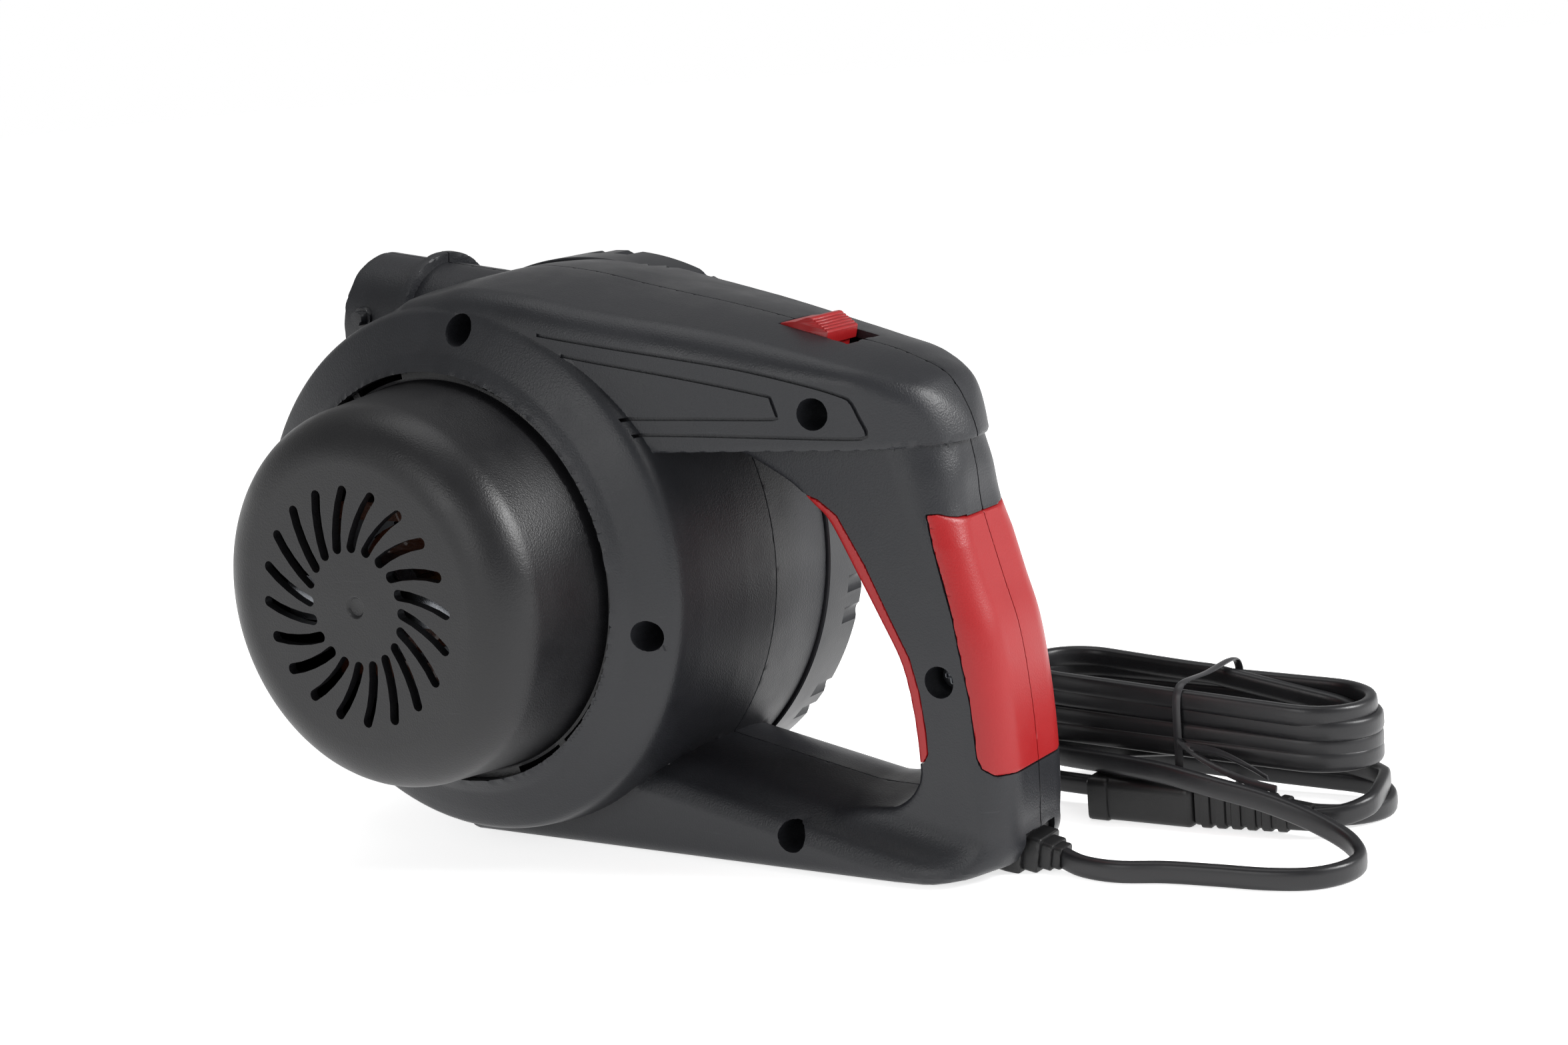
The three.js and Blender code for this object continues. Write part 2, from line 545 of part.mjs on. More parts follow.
function impeller() {
  const tip = IMPELLER_R - 0.2;
  const hub = turned([[SEAT_R, -6.5], [10, -6.5], [12, FAN_Y], [IMPELLER_R, FAN_Y], [IMPELLER_R, FAN_Y + 2.2],
    [12, FAN_Y + 2.2], [9, 8], [SEAT_R, 8], [SEAT_R, -6.5]]);
  const shroud = turned([[30, 16.4], [IMPELLER_R, 9.6], [IMPELLER_R, 11.6], [30, 18.4], [30, 16.4]]);
  const room = turned([[0, FAN_Y + 1], [tip, FAN_Y + 1], [tip, 10.6], [30, 17.4], [0, 17.4]]);
  let wheel = hub.add(shroud);
  for (let i = 0; i < 8; i++) {
    const along = [0, 1 / 3, 2 / 3, 1]; // a blade sweeps back by 42 degrees from root to tip
    const curve = (late) => along.map((t) => polar(20 + (IMPELLER_R - 18) * t, 45 * i + 42 * t + late));
    wheel = wheel.add(alongY([...curve(0), ...curve(2.6).reverse()], FAN_Y, 18).intersect(room));
  }
  return wheel;
}

function impellerNut() {
  const hex = new THREE.CylinderGeometry(7, 7, 6, 6);
  hex.translate(0, 8 + GAP + 3, 0);
  return solid(hex).subtract(pinY(SEAT_R, 0, 30));
}

// ---------------------------------------------------------------- switch
// The slider is drawn level about the middle of the slot, then tilted to the fall of the top.
function tilted(manifold) {
  return manifold.rotate([0, -SLOPE, 0]).translate([TOP_AT_SLOT[0], 0, TOP_AT_SLOT[1]]);
}

function switchSlider() {
  const [fore, aft, peak] = [-10.4, 4.2, -1.6];
  const outline = [[fore, -2], [fore, 0.2], [peak - 0.8, 3.5], [peak, 3.7]];
  const ribs = 7;
  const pitch = (aft - peak) / ribs;
  for (let i = 0; i < ribs; i++) {
    const x = peak + pitch * i;
    const fall = (2.4 * i) / ribs;
    outline.push([x + pitch * 0.35, 3.6 - fall], [x + pitch * 0.6, 3 - fall], [x + pitch * 0.95, 3.1 - fall]);
  }
  outline.push([aft, 0.4], [aft, -2]);
  return tilted(alongY(outline, -SLOT_HALF + 0.4, SLOT_HALF - 0.4)
    .add(block(fore + 1, aft - 1, -6, 6, -6, -1))
    .add(block(fore - 3, aft + 3, -9.6, 9.6, -7, -5.2))
    .add(block(-12, -9.6, -2, 2, -11.4, -6)));
}

const switchBody = () => tilted(block(-22, 2, -7, 7, -22, -9).subtract(block(-14, -2, -3, 3, -13, -8)));

// ---------------------------------------------------------------- screws
function screw(name) {
  const [x, z] = SCREWS[name];
  const cross = block(x - 1.9, x + 1.9, -13, -11.4, z - 0.4, z + 0.4)
    .add(block(x - 0.4, x + 0.4, -13, -11.4, z - 1.9, z + 1.9));
  return pinY(3.5, -12.2, -9.3, x, z, 16).add(pinY(1.6, -9.5, 12, x, z, 8)).subtract(cross);
}

// ---------------------------------------------------------------- cord and plug
// The flat cord stands on its narrow edge where it lies on the surface.
const CORD_Z = FLOOR + CORD_W / 2 + 0.1;
const PLUG_TOP = -66.4;
const CORD_ROUTE = [[158.2, -0.3, -74.8], [166, -3.4, CORD_Z], [176, -4.2, CORD_Z], [187.5, -0.4, CORD_Z],
  [200, 1.6, CORD_Z], [212.5, 3.2, CORD_Z], [222, 6.6, CORD_Z], [227.4, 12.4, CORD_Z], [229.4, 19.6, CORD_Z],
  [227.6, 27, CORD_Z], [221.6, 33, -73.8], [211, 36, -70.6], [198, 36.8, -67.2], [184, 37.4, -65],
  [176, 38.2, -63.9], [168, 39.8, -63.2], [156, 42.2, -63], [145, 44.6, -63.2], [132.6, 48.6, -63.8]];
const TAIL_ROUTE = [[209.2, 45, -73], [212.4, 45.8, -72.7], [215.2, 47.9, -72.2], [217, 51.4, -71.8]];
const HANK_Y = 68.5;
const HANK_MIDDLES = [[131.5, HANK_Y], [203.5, HANK_Y]]; // centres of its two round ends, X and Y
const HANK_R = 17.2;
const HANK_TOP = -42;

function cordAlong(route, steps) {
  const section = [];
  for (let i = 0; i < 8; i++) {
    const [a, b] = polar(1, 22.5 + 45 * i);
    const [wide, thick] = [Math.sign(a) * Math.abs(a) ** 0.7, Math.sign(b) * Math.abs(b) ** 0.9];
    section.push([(wide * CORD_W) / 2, (thick * CORD_T) / 2]);
  }
  const path = new THREE.CatmullRomCurve3(route.map((p) => new THREE.Vector3(...p)));
  return solid(new THREE.ExtrudeGeometry(shapeOf(section), { steps, extrudePath: path, bevelEnabled: false }));
}

function cordHank() {
  const outline = [];
  HANK_MIDDLES.forEach(([x, y], end) => {
    for (let i = 0; i <= 8; i++) {
      const [dx, dy] = polar(HANK_R, 90 + 22.5 * i + 180 * end);
      outline.push([x + dx, y + dy]);
    }
  });
  return alongZ(outline, FLOOR, HANK_TOP);
}

function strainRelief() {
  return exitBox(14, 14.8, 11.8, -3).add(exitBox(5, 11.4, 9.4, 5.5)).add(exitBox(4, 8.6, 7.2, 9))
    .intersect(block(0, 300, -20, 20, FLOOR + 0.2, 0));
}

const cordClamp = () => block(118, 132, -8, 8, -71.4, -68.2)
  .subtract(pinY(1.8, -20, 20, 125, -71.6, 12));

function plugBody() {
  const base = FLOOR + 0.1;
  const plan = [[145.4, 39.4], [150.6, 38.4], [152.2, 39.6], [176, 41.2], [176, 49], [152.2, 50.4], [150.6, 51],
    [145.4, 50.6]];
  const clear = hankClearance();
  return alongZ(plan, base, PLUG_TOP).subtract(clear);
}

// Room kept round the hank by the pieces that lie against it.
const hankClearance = () => block(100, 240, HANK_Y - HANK_R - GAP, 100, -100, 0);

function plugSleeve() {
  let sleeve = loft([[176.3, 4.6, 6.4], [190, 4.1, 6], [205, 3.2, 5], [208.2, 3, 4.6]].map(([x, half, rise]) =>
    [[-half, 0], [half, 0], [half, 2 * rise], [-half, 2 * rise]].map(([y, z]) => [x, 45 + y, FLOOR + 0.6 + z])));
  for (let i = 0; i < 5; i++) {
    const x = 181 + 4.6 * i;
    for (const [y0, y1] of [[30, 42.6], [47.4, 60]]) sleeve = sleeve.subtract(block(x, x + 1.8, y0, y1, -100, -40));
  }
  return sleeve.subtract(hankClearance());
}

// The tie is a flat band round the hank alone; it hides nothing that moves.
function twistTie() {
  const [x0, x1] = [167, 171];
  const [y0, y1] = [HANK_Y - HANK_R - 1.9, HANK_Y + HANK_R + 1.9];
  return block(x0, x1, y0, y1, PLUG_TOP + 0.6, HANK_TOP + 1.9)
    .subtract(block(x0 - 1, x1 + 1, HANK_Y - HANK_R - GAP, HANK_Y + HANK_R + GAP, -100, HANK_TOP + GAP));
}

// ---------------------------------------------------------------- assembly
const PLASTIC = new THREE.MeshStandardMaterial({ color: 0x2b2c30, roughness: 0.55, metalness: 0 });
const RED = new THREE.MeshStandardMaterial({ color: 0xc4161c, roughness: 0.4, metalness: 0 });
const STEEL = new THREE.MeshStandardMaterial({ color: 0xa8abb0, roughness: 0.35, metalness: 1 });
const COPPER = new THREE.MeshStandardMaterial({ color: 0xb8693a, roughness: 0.4, metalness: 1 });
const CARBON = new THREE.MeshStandardMaterial({ color: 0x1c1c1d, roughness: 0.7, metalness: 0 });
const VINYL = new THREE.MeshStandardMaterial({ color: 0x202123, roughness: 0.5, metalness: 0 });
const BRASS = new THREE.MeshStandardMaterial({ color: 0xc9b06a, roughness: 0.3, metalness: 1 });

const root = new THREE.Group();
const body = new THREE.Group();
body.position.set(-CENTRE_X, -CENTRE_Y, AXIS_HEIGHT);
root.add(body);

function put(name, manifold, material, parent = body) {
  const mesh = new THREE.Mesh(geometryOf(manifold), material.clone());
  mesh.name = name;
  parent.add(mesh);
  return mesh;
}

const { near, far, grip, gripCore, rearZone, frontZone } = housings();
put("near_housing", near, PLASTIC);
put("far_housing", far, PLASTIC);
put("motor_cap", motorCap(), PLASTIC);
put("intake_cover", intakeCover(), PLASTIC);
put("intake_grille", intakeGrille(), PLASTIC);

// Red panels, split on the seam like the housings that carry them.
const nearSide = block(-BIG, BIG, -BIG, -HALF_GAP, -BIG, BIG);
const farSide = block(-BIG, BIG, HALF_GAP, BIG, -BIG, BIG);
for (const [where, zone] of [["rear", rearZone], ["front", frontZone]]) {
  const panel = grip.intersect(zone).subtract(gripCore);
  put(`${where}_grip_near`, largest(panel.intersect(nearSide)), RED);
  put(`${where}_grip_far`, largest(panel.intersect(farSide)), RED);
}

put("motor_shaft", motorShaft(), STEEL);
put("armature_core", armatureCore(), STEEL);
put("armature_winding_near", windingHead(CORE_Y[0] - 4, CORE_Y[0] - GAP), COPPER);
put("armature_winding_far", windingHead(CORE_Y[1] + 3.6, CORE_Y[1] + GAP), COPPER);
put("commutator", commutator(), COPPER);
put("impeller", impeller(), PLASTIC);
put("impeller_nut", impellerNut(), STEEL);
put("stator_core", statorCore(), STEEL);
put("field_coil_upper", fieldCoil(1), COPPER);
put("field_coil_lower", fieldCoil(-1), COPPER);
put("bearing_near", bearing(NEAR_BEARING_Y), STEEL);
put("bearing_far", bearing(FAR_BEARING_Y), STEEL);
put("bearing_bridge_near", bearingBridge(NEAR_BEARING_Y, CORE_Y[0] - GAP), STEEL);
put("bearing_bridge_far", bearingBridge(FAR_BEARING_Y, CORE_Y[1] + GAP), STEEL);
put("brush_holder_rear", brushHolder(1), BRASS);
put("brush_holder_front", brushHolder(-1), BRASS);
put("carbon_brush_rear", carbonBrush(1), CARBON);
put("carbon_brush_front", carbonBrush(-1), CARBON);
put("fan_plate", fanPlate(), PLASTIC);
put("switch_slider", switchSlider(), RED);
put("switch_body", switchBody(), PLASTIC);
for (const name of Object.keys(SCREWS)) put(`screw_${name}`, screw(name), STEEL);

put("strain_relief", strainRelief(), VINYL);
put("cord_clamp", cordClamp(), PLASTIC);
put("cord_tube", cordAlong(CORD_ROUTE, 34), VINYL);
put("cord_tail", cordAlong(TAIL_ROUTE, 5), VINYL);
put("cord_hank", cordHank(), VINYL);
put("twist_tie", twistTie(), VINYL);
put("plug_body", plugBody(), VINYL);
put("plug_sleeve", plugSleeve(), VINYL);

export default root;
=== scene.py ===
# %% [markdown]
# # A hand-held electric blower
#
# The body is two moulded halves that close on each other along the top and carry a motor, a fan, a switch and a
# flat mains cord. The CAD model gives the frame that everything here has to match. All sizes in this lesson are
# in millimetres, measured from the motor axis where it crosses the seam between the halves, with X towards the
# grip, Y away from the motor cap and Z up. One function turns such a point into the frame's metres.

# %% Load the frame
import math

import bmesh
import bpy
import numpy as np
from mathutils import Matrix, Vector


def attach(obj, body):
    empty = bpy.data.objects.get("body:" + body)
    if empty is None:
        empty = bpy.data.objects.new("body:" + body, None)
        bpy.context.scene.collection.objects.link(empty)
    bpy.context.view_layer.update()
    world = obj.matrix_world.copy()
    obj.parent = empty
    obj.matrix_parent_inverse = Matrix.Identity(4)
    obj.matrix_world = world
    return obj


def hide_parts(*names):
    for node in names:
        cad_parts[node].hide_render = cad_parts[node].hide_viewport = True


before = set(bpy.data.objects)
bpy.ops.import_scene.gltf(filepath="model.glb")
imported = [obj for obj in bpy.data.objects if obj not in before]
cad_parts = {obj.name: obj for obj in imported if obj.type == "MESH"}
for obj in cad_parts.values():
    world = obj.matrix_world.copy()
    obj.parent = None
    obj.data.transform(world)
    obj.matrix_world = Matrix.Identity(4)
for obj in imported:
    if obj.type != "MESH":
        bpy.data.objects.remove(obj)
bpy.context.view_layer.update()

AXIS_HEIGHT = 78.5
CENTRE_X = 37.4
CENTRE_Y = -18.4
FLOOR = -AXIS_HEIGHT
MM = 0.001


def place(x, y, z):
    """A point measured from the motor axis in millimetres, as metres in the frame."""
    return ((x - CENTRE_X) * MM, (y - CENTRE_Y) * MM, (z + AXIS_HEIGHT) * MM)


# %% [markdown]
# ## Camera
#
# The blower is seen from behind its grip and a little above, from just over seven hundred millimetres away. A
# camera could be aimed at a point, but the real one is also rolled a little, so its three angles are given.

# %% Camera
CAMERA_AT = (474.3, -573.8, 140.8)
CAMERA_TURN = 34.44
CAMERA_DIP = 10.71
CAMERA_ROLL = -4.67
CAMERA_LENS = 61.2


def make_camera():
    turn, dip, roll = (math.radians(a) for a in (CAMERA_TURN, CAMERA_DIP, CAMERA_ROLL))
    ahead = Vector((-math.sin(turn) * math.cos(dip), math.cos(turn) * math.cos(dip), -math.sin(dip)))
    right = Vector((math.cos(turn), math.sin(turn), 0))
    up = right.cross(ahead)
    rolled_right = right * math.cos(roll) + up * math.sin(roll)
    rolled_up = up * math.cos(roll) - right * math.sin(roll)
    camera = bpy.data.objects.new("camera", bpy.data.cameras.new("camera"))
    axes = Matrix((rolled_right, rolled_up, -ahead)).transposed().to_4x4()
    camera.matrix_world = Matrix.Translation(place(*CAMERA_AT)) @ axes
    camera.data.lens = CAMERA_LENS
    camera.data.sensor_width = 36
    camera.data.clip_start = 0.01
    bpy.context.scene.collection.objects.link(camera)
    bpy.context.scene.camera = camera
    return camera


make_camera()
print("camera looks with a lens of", CAMERA_LENS, "mm")

# %% [markdown]
# ## Making meshes
#
# Most pieces here are made from lists of points and faces. A few helpers build an object from them and shade it
# smooth up to a crease angle. Every object stays at the origin, with its place in its mesh.

# %% Mesh helpers
SHARP = math.radians(32)


def mesh_object(name, points, faces, sharp=SHARP):
    """A mesh from points in millimetres about the motor axis, with creases kept sharp."""
    points = np.asarray(points, dtype=float)
    metres = (points - (CENTRE_X, CENTRE_Y, FLOOR)) * MM
    mesh = bpy.data.meshes.new(name)
    mesh.from_pydata(metres.tolist(), [], [list(map(int, f)) for f in faces])
    mesh.validate()
    piece = bpy.data.objects.new(name, mesh)
    bpy.context.scene.collection.objects.link(piece)
    tidy(piece, sharp)
    return piece


def tidy(piece, sharp=SHARP, merge=1e-7):
    """Merges doubles, turns every face outwards and marks the creases."""
    work = bmesh.new()
    work.from_mesh(piece.data)
    bmesh.ops.remove_doubles(work, verts=work.verts, dist=merge)
    bmesh.ops.recalc_face_normals(work, faces=work.faces)
    work.to_mesh(piece.data)
    work.free()
    piece.data.shade_smooth()
    piece.data.set_sharp_from_angle(angle=sharp)


print("creases sharper than", round(math.degrees(SHARP)), "degrees stay sharp")

# %% [markdown]
# ## Cutting and rounding
#
# Slots and vents are cut with a second closed mesh, as a core in the mould would leave them. The Bevel modifier
# then rounds the edges and a weighted normal keeps the flat faces flat. Each modifier is applied at once, so that
# the next step works on a plain mesh.

# %% Cutting and rounding
def bake(piece):
    """Applies the modifiers of a piece to its mesh."""
    graph = bpy.context.evaluated_depsgraph_get()
    made = bpy.data.meshes.new_from_object(piece.evaluated_get(graph))
    old = piece.data
    piece.modifiers.clear()
    piece.data = made
    bpy.data.meshes.remove(old)
    return piece


def cut(piece, cutter, how="DIFFERENCE", solver="MANIFOLD"):
    """Cuts or joins with another closed mesh and removes it."""
    change = piece.modifiers.new("cut", "BOOLEAN")
    change.operation = how
    change.solver = solver
    change.object = cutter
    bake(piece)
    bpy.data.objects.remove(cutter)
    return piece


def bevel(piece, width, segments=2, angle=35):
    """Rounds the creases of a piece, as every moulded edge is."""
    rounder = piece.modifiers.new("bevel", "BEVEL")
    rounder.width = width * MM
    rounder.segments = segments
    rounder.limit_method = "ANGLE"
    rounder.angle_limit = math.radians(angle)
    bake(piece)
    piece.data.shade_smooth()
    piece.data.set_sharp_from_angle(angle=SHARP)
    even = piece.modifiers.new("even", "WEIGHTED_NORMAL")
    even.keep_sharp = True
    even.weight = 100
    return bake(piece)


print("cuts and bevels are ready")

# %% [markdown]
# ## Turned, drawn and lofted shapes
#
# Round pieces are turned from a profile, flat ones are drawn out from an outline, and bands are lofted through
# rings. The Screw and Solidify modifiers could make the first two. Plain lists of points leave no seam to weld.

# %% Turned, drawn and lofted shapes
def lathe(name, profile, sides=160):
    """A closed solid of a [radius, y] profile turned about the motor axis."""
    points = []
    faces = []
    rows = []
    for r, y in profile:
        if r < 1e-6:
            rows.append([len(points)] * sides)
            points.append((0, y, 0))
            continue
        rows.append(list(range(len(points), len(points) + sides)))
        for i in range(sides):
            a = 2 * math.pi * i / sides
            points.append((r * math.cos(a), y, r * math.sin(a)))
    for low, high in zip(rows, rows[1:]):
        for i in range(sides):
            j = (i + 1) % sides
            face = list(dict.fromkeys((low[i], low[j], high[j], high[i])))
            if len(face) > 2:
                faces.append(face)
    return mesh_object(name, points, faces)


def prism(name, outline, y0, y1):
    """A side outline of (x, z) points drawn out along Y."""
    count = len(outline)
    points = [(x, y, z) for y in (y0, y1) for x, z in outline]
    faces = [list(range(count)), list(range(count, 2 * count))]
    faces += [(i, (i + 1) % count, count + (i + 1) % count, count + i) for i in range(count)]
    return mesh_object(name, points, faces)


def loft(name, rings, sharp=SHARP):
    """A closed skin through rings of points."""
    count = len(rings[0])
    points = [p for ring in rings for p in ring]
    faces = [list(range(count)), list(range(len(points) - count, len(points)))]
    for k in range(len(rings) - 1):
        for i in range(count):
            j = (i + 1) % count
            faces.append((k * count + i, k * count + j, (k + 1) * count + j, (k + 1) * count + i))
    return mesh_object(name, points, faces, sharp)


def polar(r, degrees):
    return (r * math.cos(math.radians(degrees)), r * math.sin(math.radians(degrees)))


def curve_through(points, spacing):
    """A smooth line through a few points, as evenly spaced points."""
    points = np.asarray(points, dtype=float)
    ends = np.vstack([2 * points[0] - points[1], points, 2 * points[-1] - points[-2]])
    fine = []
    for i in range(1, len(ends) - 2):
        a, b, c, d = ends[i - 1:i + 3]
        t = np.linspace(0, 1, 24, endpoint=False)[:, None]
        fine.append(0.5 * (2 * b + (c - a) * t + (2 * a - 5 * b + 4 * c - d) * t**2
                           + (3 * b - a - 3 * c + d) * t**3))
    fine = np.vstack(fine + [points[-1:]])
    run = np.concatenate([[0], np.cumsum(np.linalg.norm(np.diff(fine, axis=0), axis=1))])
    count = max(int(run[-1] / spacing), 2)
    at = np.linspace(0, run[-1], count + 1)
    return np.stack([np.interp(at, run, fine[:, k]) for k in range(fine.shape[1])], axis=1)


print("a line of 10 mm is spaced out into", len(curve_through([(0, 0), (10, 0)], 2)), "points")

# %% [markdown]
# ## The cord's route
#
# A flat twin mains cord: two cores side by side in one soft sheath, 5.6 mm wide and 3.5 mm thick. It bends easily
# only across its thin side, so it stands on its narrow edge wherever it turns on the table. It leaves the base,
# swings out in one loose loop, climbs over the plug and joins its own folded hank, whose runs are stacked edge
# on edge. Its two free stretches are given as a few points. The hank is worked out turn by turn, a little uneven,
# because a cord that is folded by hand is never quite regular.

# %% Cord route
CORD_W = 5.6
CORD_T = 3.5
CORD_Z = FLOOR + CORD_W / 2 + 0.1
CORD_ROUTE = [(158.2, -0.3, -74.8), (166, -3.4, CORD_Z), (176, -4.2, CORD_Z), (187.5, -0.4, CORD_Z),
              (200, 1.6, CORD_Z), (212.5, 3.2, CORD_Z), (222, 6.6, CORD_Z), (227.4, 12.4, CORD_Z),
              (229.4, 19.6, CORD_Z), (227.6, 27, CORD_Z), (221.6, 33, -73.8), (211, 36, -70.6),
              (198, 36.8, -67.2), (184, 37.4, -65), (176, 38.2, -63.9), (168, 39.8, -63.2), (156, 42.2, -63),
              (145, 44.6, -63.2), (133, 48.4, -63.8), (123.6, 53.4, -64.2), (117.4, 60.6, -64.2)]
TAIL_ROUTE = [(219.4, 57.5, -70.8), (218, 51.4, -71.6), (214.2, 47, -72.4), (208.4, 45, -73)]
HANK_LEFT = 131.5
HANK_RIGHT = 203.5
HANK_Y = 68.5
HANK_R = 15.4
HANK_INNER = 11.4
LAYER_LEFT = 6.3
LAYER_RIGHT = 5.75
LAYER_SHORTER = 0.75
FOLD_UNEVEN = 0.7
RUN_SWAY = 0.35
TURN_STEPS = 44


def hank_point(turn, layer, radius):
    """A point on the stadium: a whole turn starts and ends at its left end and goes round by the far side."""
    straight = HANK_RIGHT - HANK_LEFT - LAYER_SHORTER * layer - FOLD_UNEVEN * (1 + math.sin(4.3 * turn))
    bend = math.pi * radius
    run = (turn % 1) * 2 * (straight + bend)
    if run < bend / 2:
        a = 180 - math.degrees(run / radius)
        x, y = HANK_LEFT + radius * math.cos(math.radians(a)), radius * math.sin(math.radians(a))
    elif run < bend / 2 + straight:
        x, y = HANK_LEFT + run - bend / 2, radius
    elif run < 1.5 * bend + straight:
        a = 90 - math.degrees((run - bend / 2 - straight) / radius)
        x, y = HANK_LEFT + straight + radius * math.cos(math.radians(a)), radius * math.sin(math.radians(a))
    elif run < 1.5 * bend + 2 * straight:
        x, y = HANK_LEFT + straight - (run - 1.5 * bend - straight), -radius
    else:
        a = -90 - math.degrees((run - 1.5 * bend - 2 * straight) / radius)
        x, y = HANK_LEFT + radius * math.cos(math.radians(a)), radius * math.sin(math.radians(a))
    along = (x - HANK_LEFT) / straight
    height = CORD_W / 2 + 0.2 + layer * (LAYER_LEFT + (LAYER_RIGHT - LAYER_LEFT) * along)
    sway = RUN_SWAY * math.sin(2 * math.pi * turn * 0.37 + 1.1) * min(layer, 1)
    return (x, HANK_Y + y * (1 - 0.03 * (1 + math.sin(5.1 * turn))), FLOOR + height + sway)


def hank_points():
    """Up from the third layer to the top, down through the inside, then the two lowest layers outside."""
    stages = [(4, 2.1, 5.0, HANK_R, HANK_R), (0.25, 5.0, 4.9, HANK_R, HANK_INNER),
              (0.9, 4.9, 0.6, HANK_INNER, HANK_INNER), (0.35, 0.6, 0.0, HANK_INNER, HANK_R),
              (1.0, 0.0, 1.0, HANK_R, HANK_R)]
    points = []
    turned = 0.0
    for turns, low, high, r0, r1 in stages:
        steps = int(turns * TURN_STEPS)
        for i in range(steps):
            t = i / steps
            s = t * t * (3 - 2 * t) if r0 != r1 else t
            points.append(hank_point(turned + turns * t, low + (high - low) * t, r0 + (r1 - r0) * s))
        turned += turns
    return points, turned


def cord_path():
    coil, turned = hank_points()
    return curve_through(CORD_ROUTE + coil + TAIL_ROUTE, 2.2), turned


path, turned = cord_path()
length = np.linalg.norm(np.diff(path, axis=0), axis=1).sum()
print(f"cord runs {length:.0f} mm, with {turned:.2f} turns in the hank, ending at turn {turned % 1:.2f}")

# %% [markdown]
# ## Sweeping the sheath
#
# A curve with a bevel would be the quick way to a cord, but a bevel twists as the path turns. A swept mesh whose
# wide side always stays upright follows the real cord. Its section is a rounded rectangle with a shallow groove
# down the middle of each side, where the two cores meet.

# %% Cord sweep
def sweep(name, path, half_w, half_t, section=16, power=0.62):
    """A tube along a path whose section is an upright rounded rectangle with a shallow groove down each side."""
    path = np.asarray(path, dtype=float)
    ahead = np.gradient(path, axis=0)
    ahead /= np.linalg.norm(ahead, axis=1)[:, None]
    side = np.cross(ahead, (0, 0, 1))
    side /= np.linalg.norm(side, axis=1)[:, None]
    up = np.cross(side, ahead)
    rings = []
    for i in range(section):
        a = 2 * math.pi * (i + 0.5) / section
        wide = math.copysign(abs(math.sin(a)) ** power, math.sin(a))
        thick = math.copysign(abs(math.cos(a)) ** power, math.cos(a))
        groove = 0.12 * math.exp(-(wide / 0.22) ** 2)
        rings.append((wide * half_w, thick * half_t * (1 - groove)))
    points = np.concatenate([path + up * w + side * t for w, t in rings])
    count = len(path)
    faces = []
    for i in range(section):
        j = (i + 1) % section
        for k in range(count - 1):
            faces.append((i * count + k, i * count + k + 1, j * count + k + 1, j * count + k))
    faces.append([i * count for i in range(section)])
    faces.append([i * count + count - 1 for i in range(section)])
    return mesh_object(name, points, faces, math.radians(60))


cord = sweep("flat_cord", path, CORD_W / 2, CORD_T / 2)
print("cord mesh has", len(cord.data.polygons), "faces")

# %% [markdown]
# ## Surfaces from distance fields
#
# A moulded housing is a few simple bodies that flow into each other with small fillets. Modelling those fillets by
# hand takes long, and bevelling the result of mesh booleans often fails. A distance field makes them exact: each
# body is a function that is negative inside, fillets are smooth minima, and rounded edges are smooth maxima. Side
# outlines are drawn once and read back as a table of distances.

# %% Fields
def table_of(outline, step=0.5):
    """Signed distance to a closed outline, tabled once and read back between the grid's points."""
    outline = np.asarray(outline, dtype=float)
    low = outline.min(axis=0) - 12
    us, vs = (np.arange(low[k], outline[:, k].max() + 12, step) for k in range(2))
    u, v = np.meshgrid(us, vs, indexing="ij")
    best = np.full(u.shape, 1e9)
    inside = np.zeros(u.shape, dtype=bool)
    for (ax, ay), (bx, by) in zip(outline, np.roll(outline, -1, axis=0)):
        dx, dy = bx - ax, by - ay
        t = np.clip(((u - ax) * dx + (v - ay) * dy) / max(dx * dx + dy * dy, 1e-12), 0, 1)
        best = np.minimum(best, np.hypot(u - ax - t * dx, v - ay - t * dy))
        if ay != by:
            inside ^= ((ay > v) != (by > v)) & (u < dx * (v - ay) / dy + ax)
    grid = np.where(inside, -best, best)

    def read(x, y):
        i = np.clip((x - low[0]) / step, 0, len(us) - 1.001)
        j = np.clip((y - low[1]) / step, 0, len(vs) - 1.001)
        a, b = i.astype(int), j.astype(int)
        s, t = i - a, j - b
        left = grid[a, b] * (1 - t) + grid[a, b + 1] * t
        right = grid[a + 1, b] * (1 - t) + grid[a + 1, b + 1] * t
        return left * (1 - s) + right * s
    return read


def round_max(a, b, r):
    """Where two bodies meet, with the edge between them rounded."""
    return np.minimum(np.maximum(a, b), -r) + np.hypot(np.maximum(a + r, 0), np.maximum(b + r, 0))


def smooth_min(a, b, k):
    """Two bodies joined by a fillet about k across."""
    h = np.clip(0.5 + 0.5 * (b - a) / k, 0, 1)
    return b + (a - b) * h - k * h * (1 - h)


print("a rounded edge of 2 mm cuts its corner by", round(float(round_max(0.0, 0.0, 2.0)), 2), "mm")

# %% [markdown]
# ## From field to mesh
#
# Dual contouring turns a field into quads. It finds where the surface crosses the edges of a grid, and places one
# corner in each cell, where the surface's tangent planes meet. That keeps creases, which Metaballs or the Remesh
# modifier would melt away.

# %% Mesher
NORMAL_REACH = 0.04
FLAT_PULL = 0.04


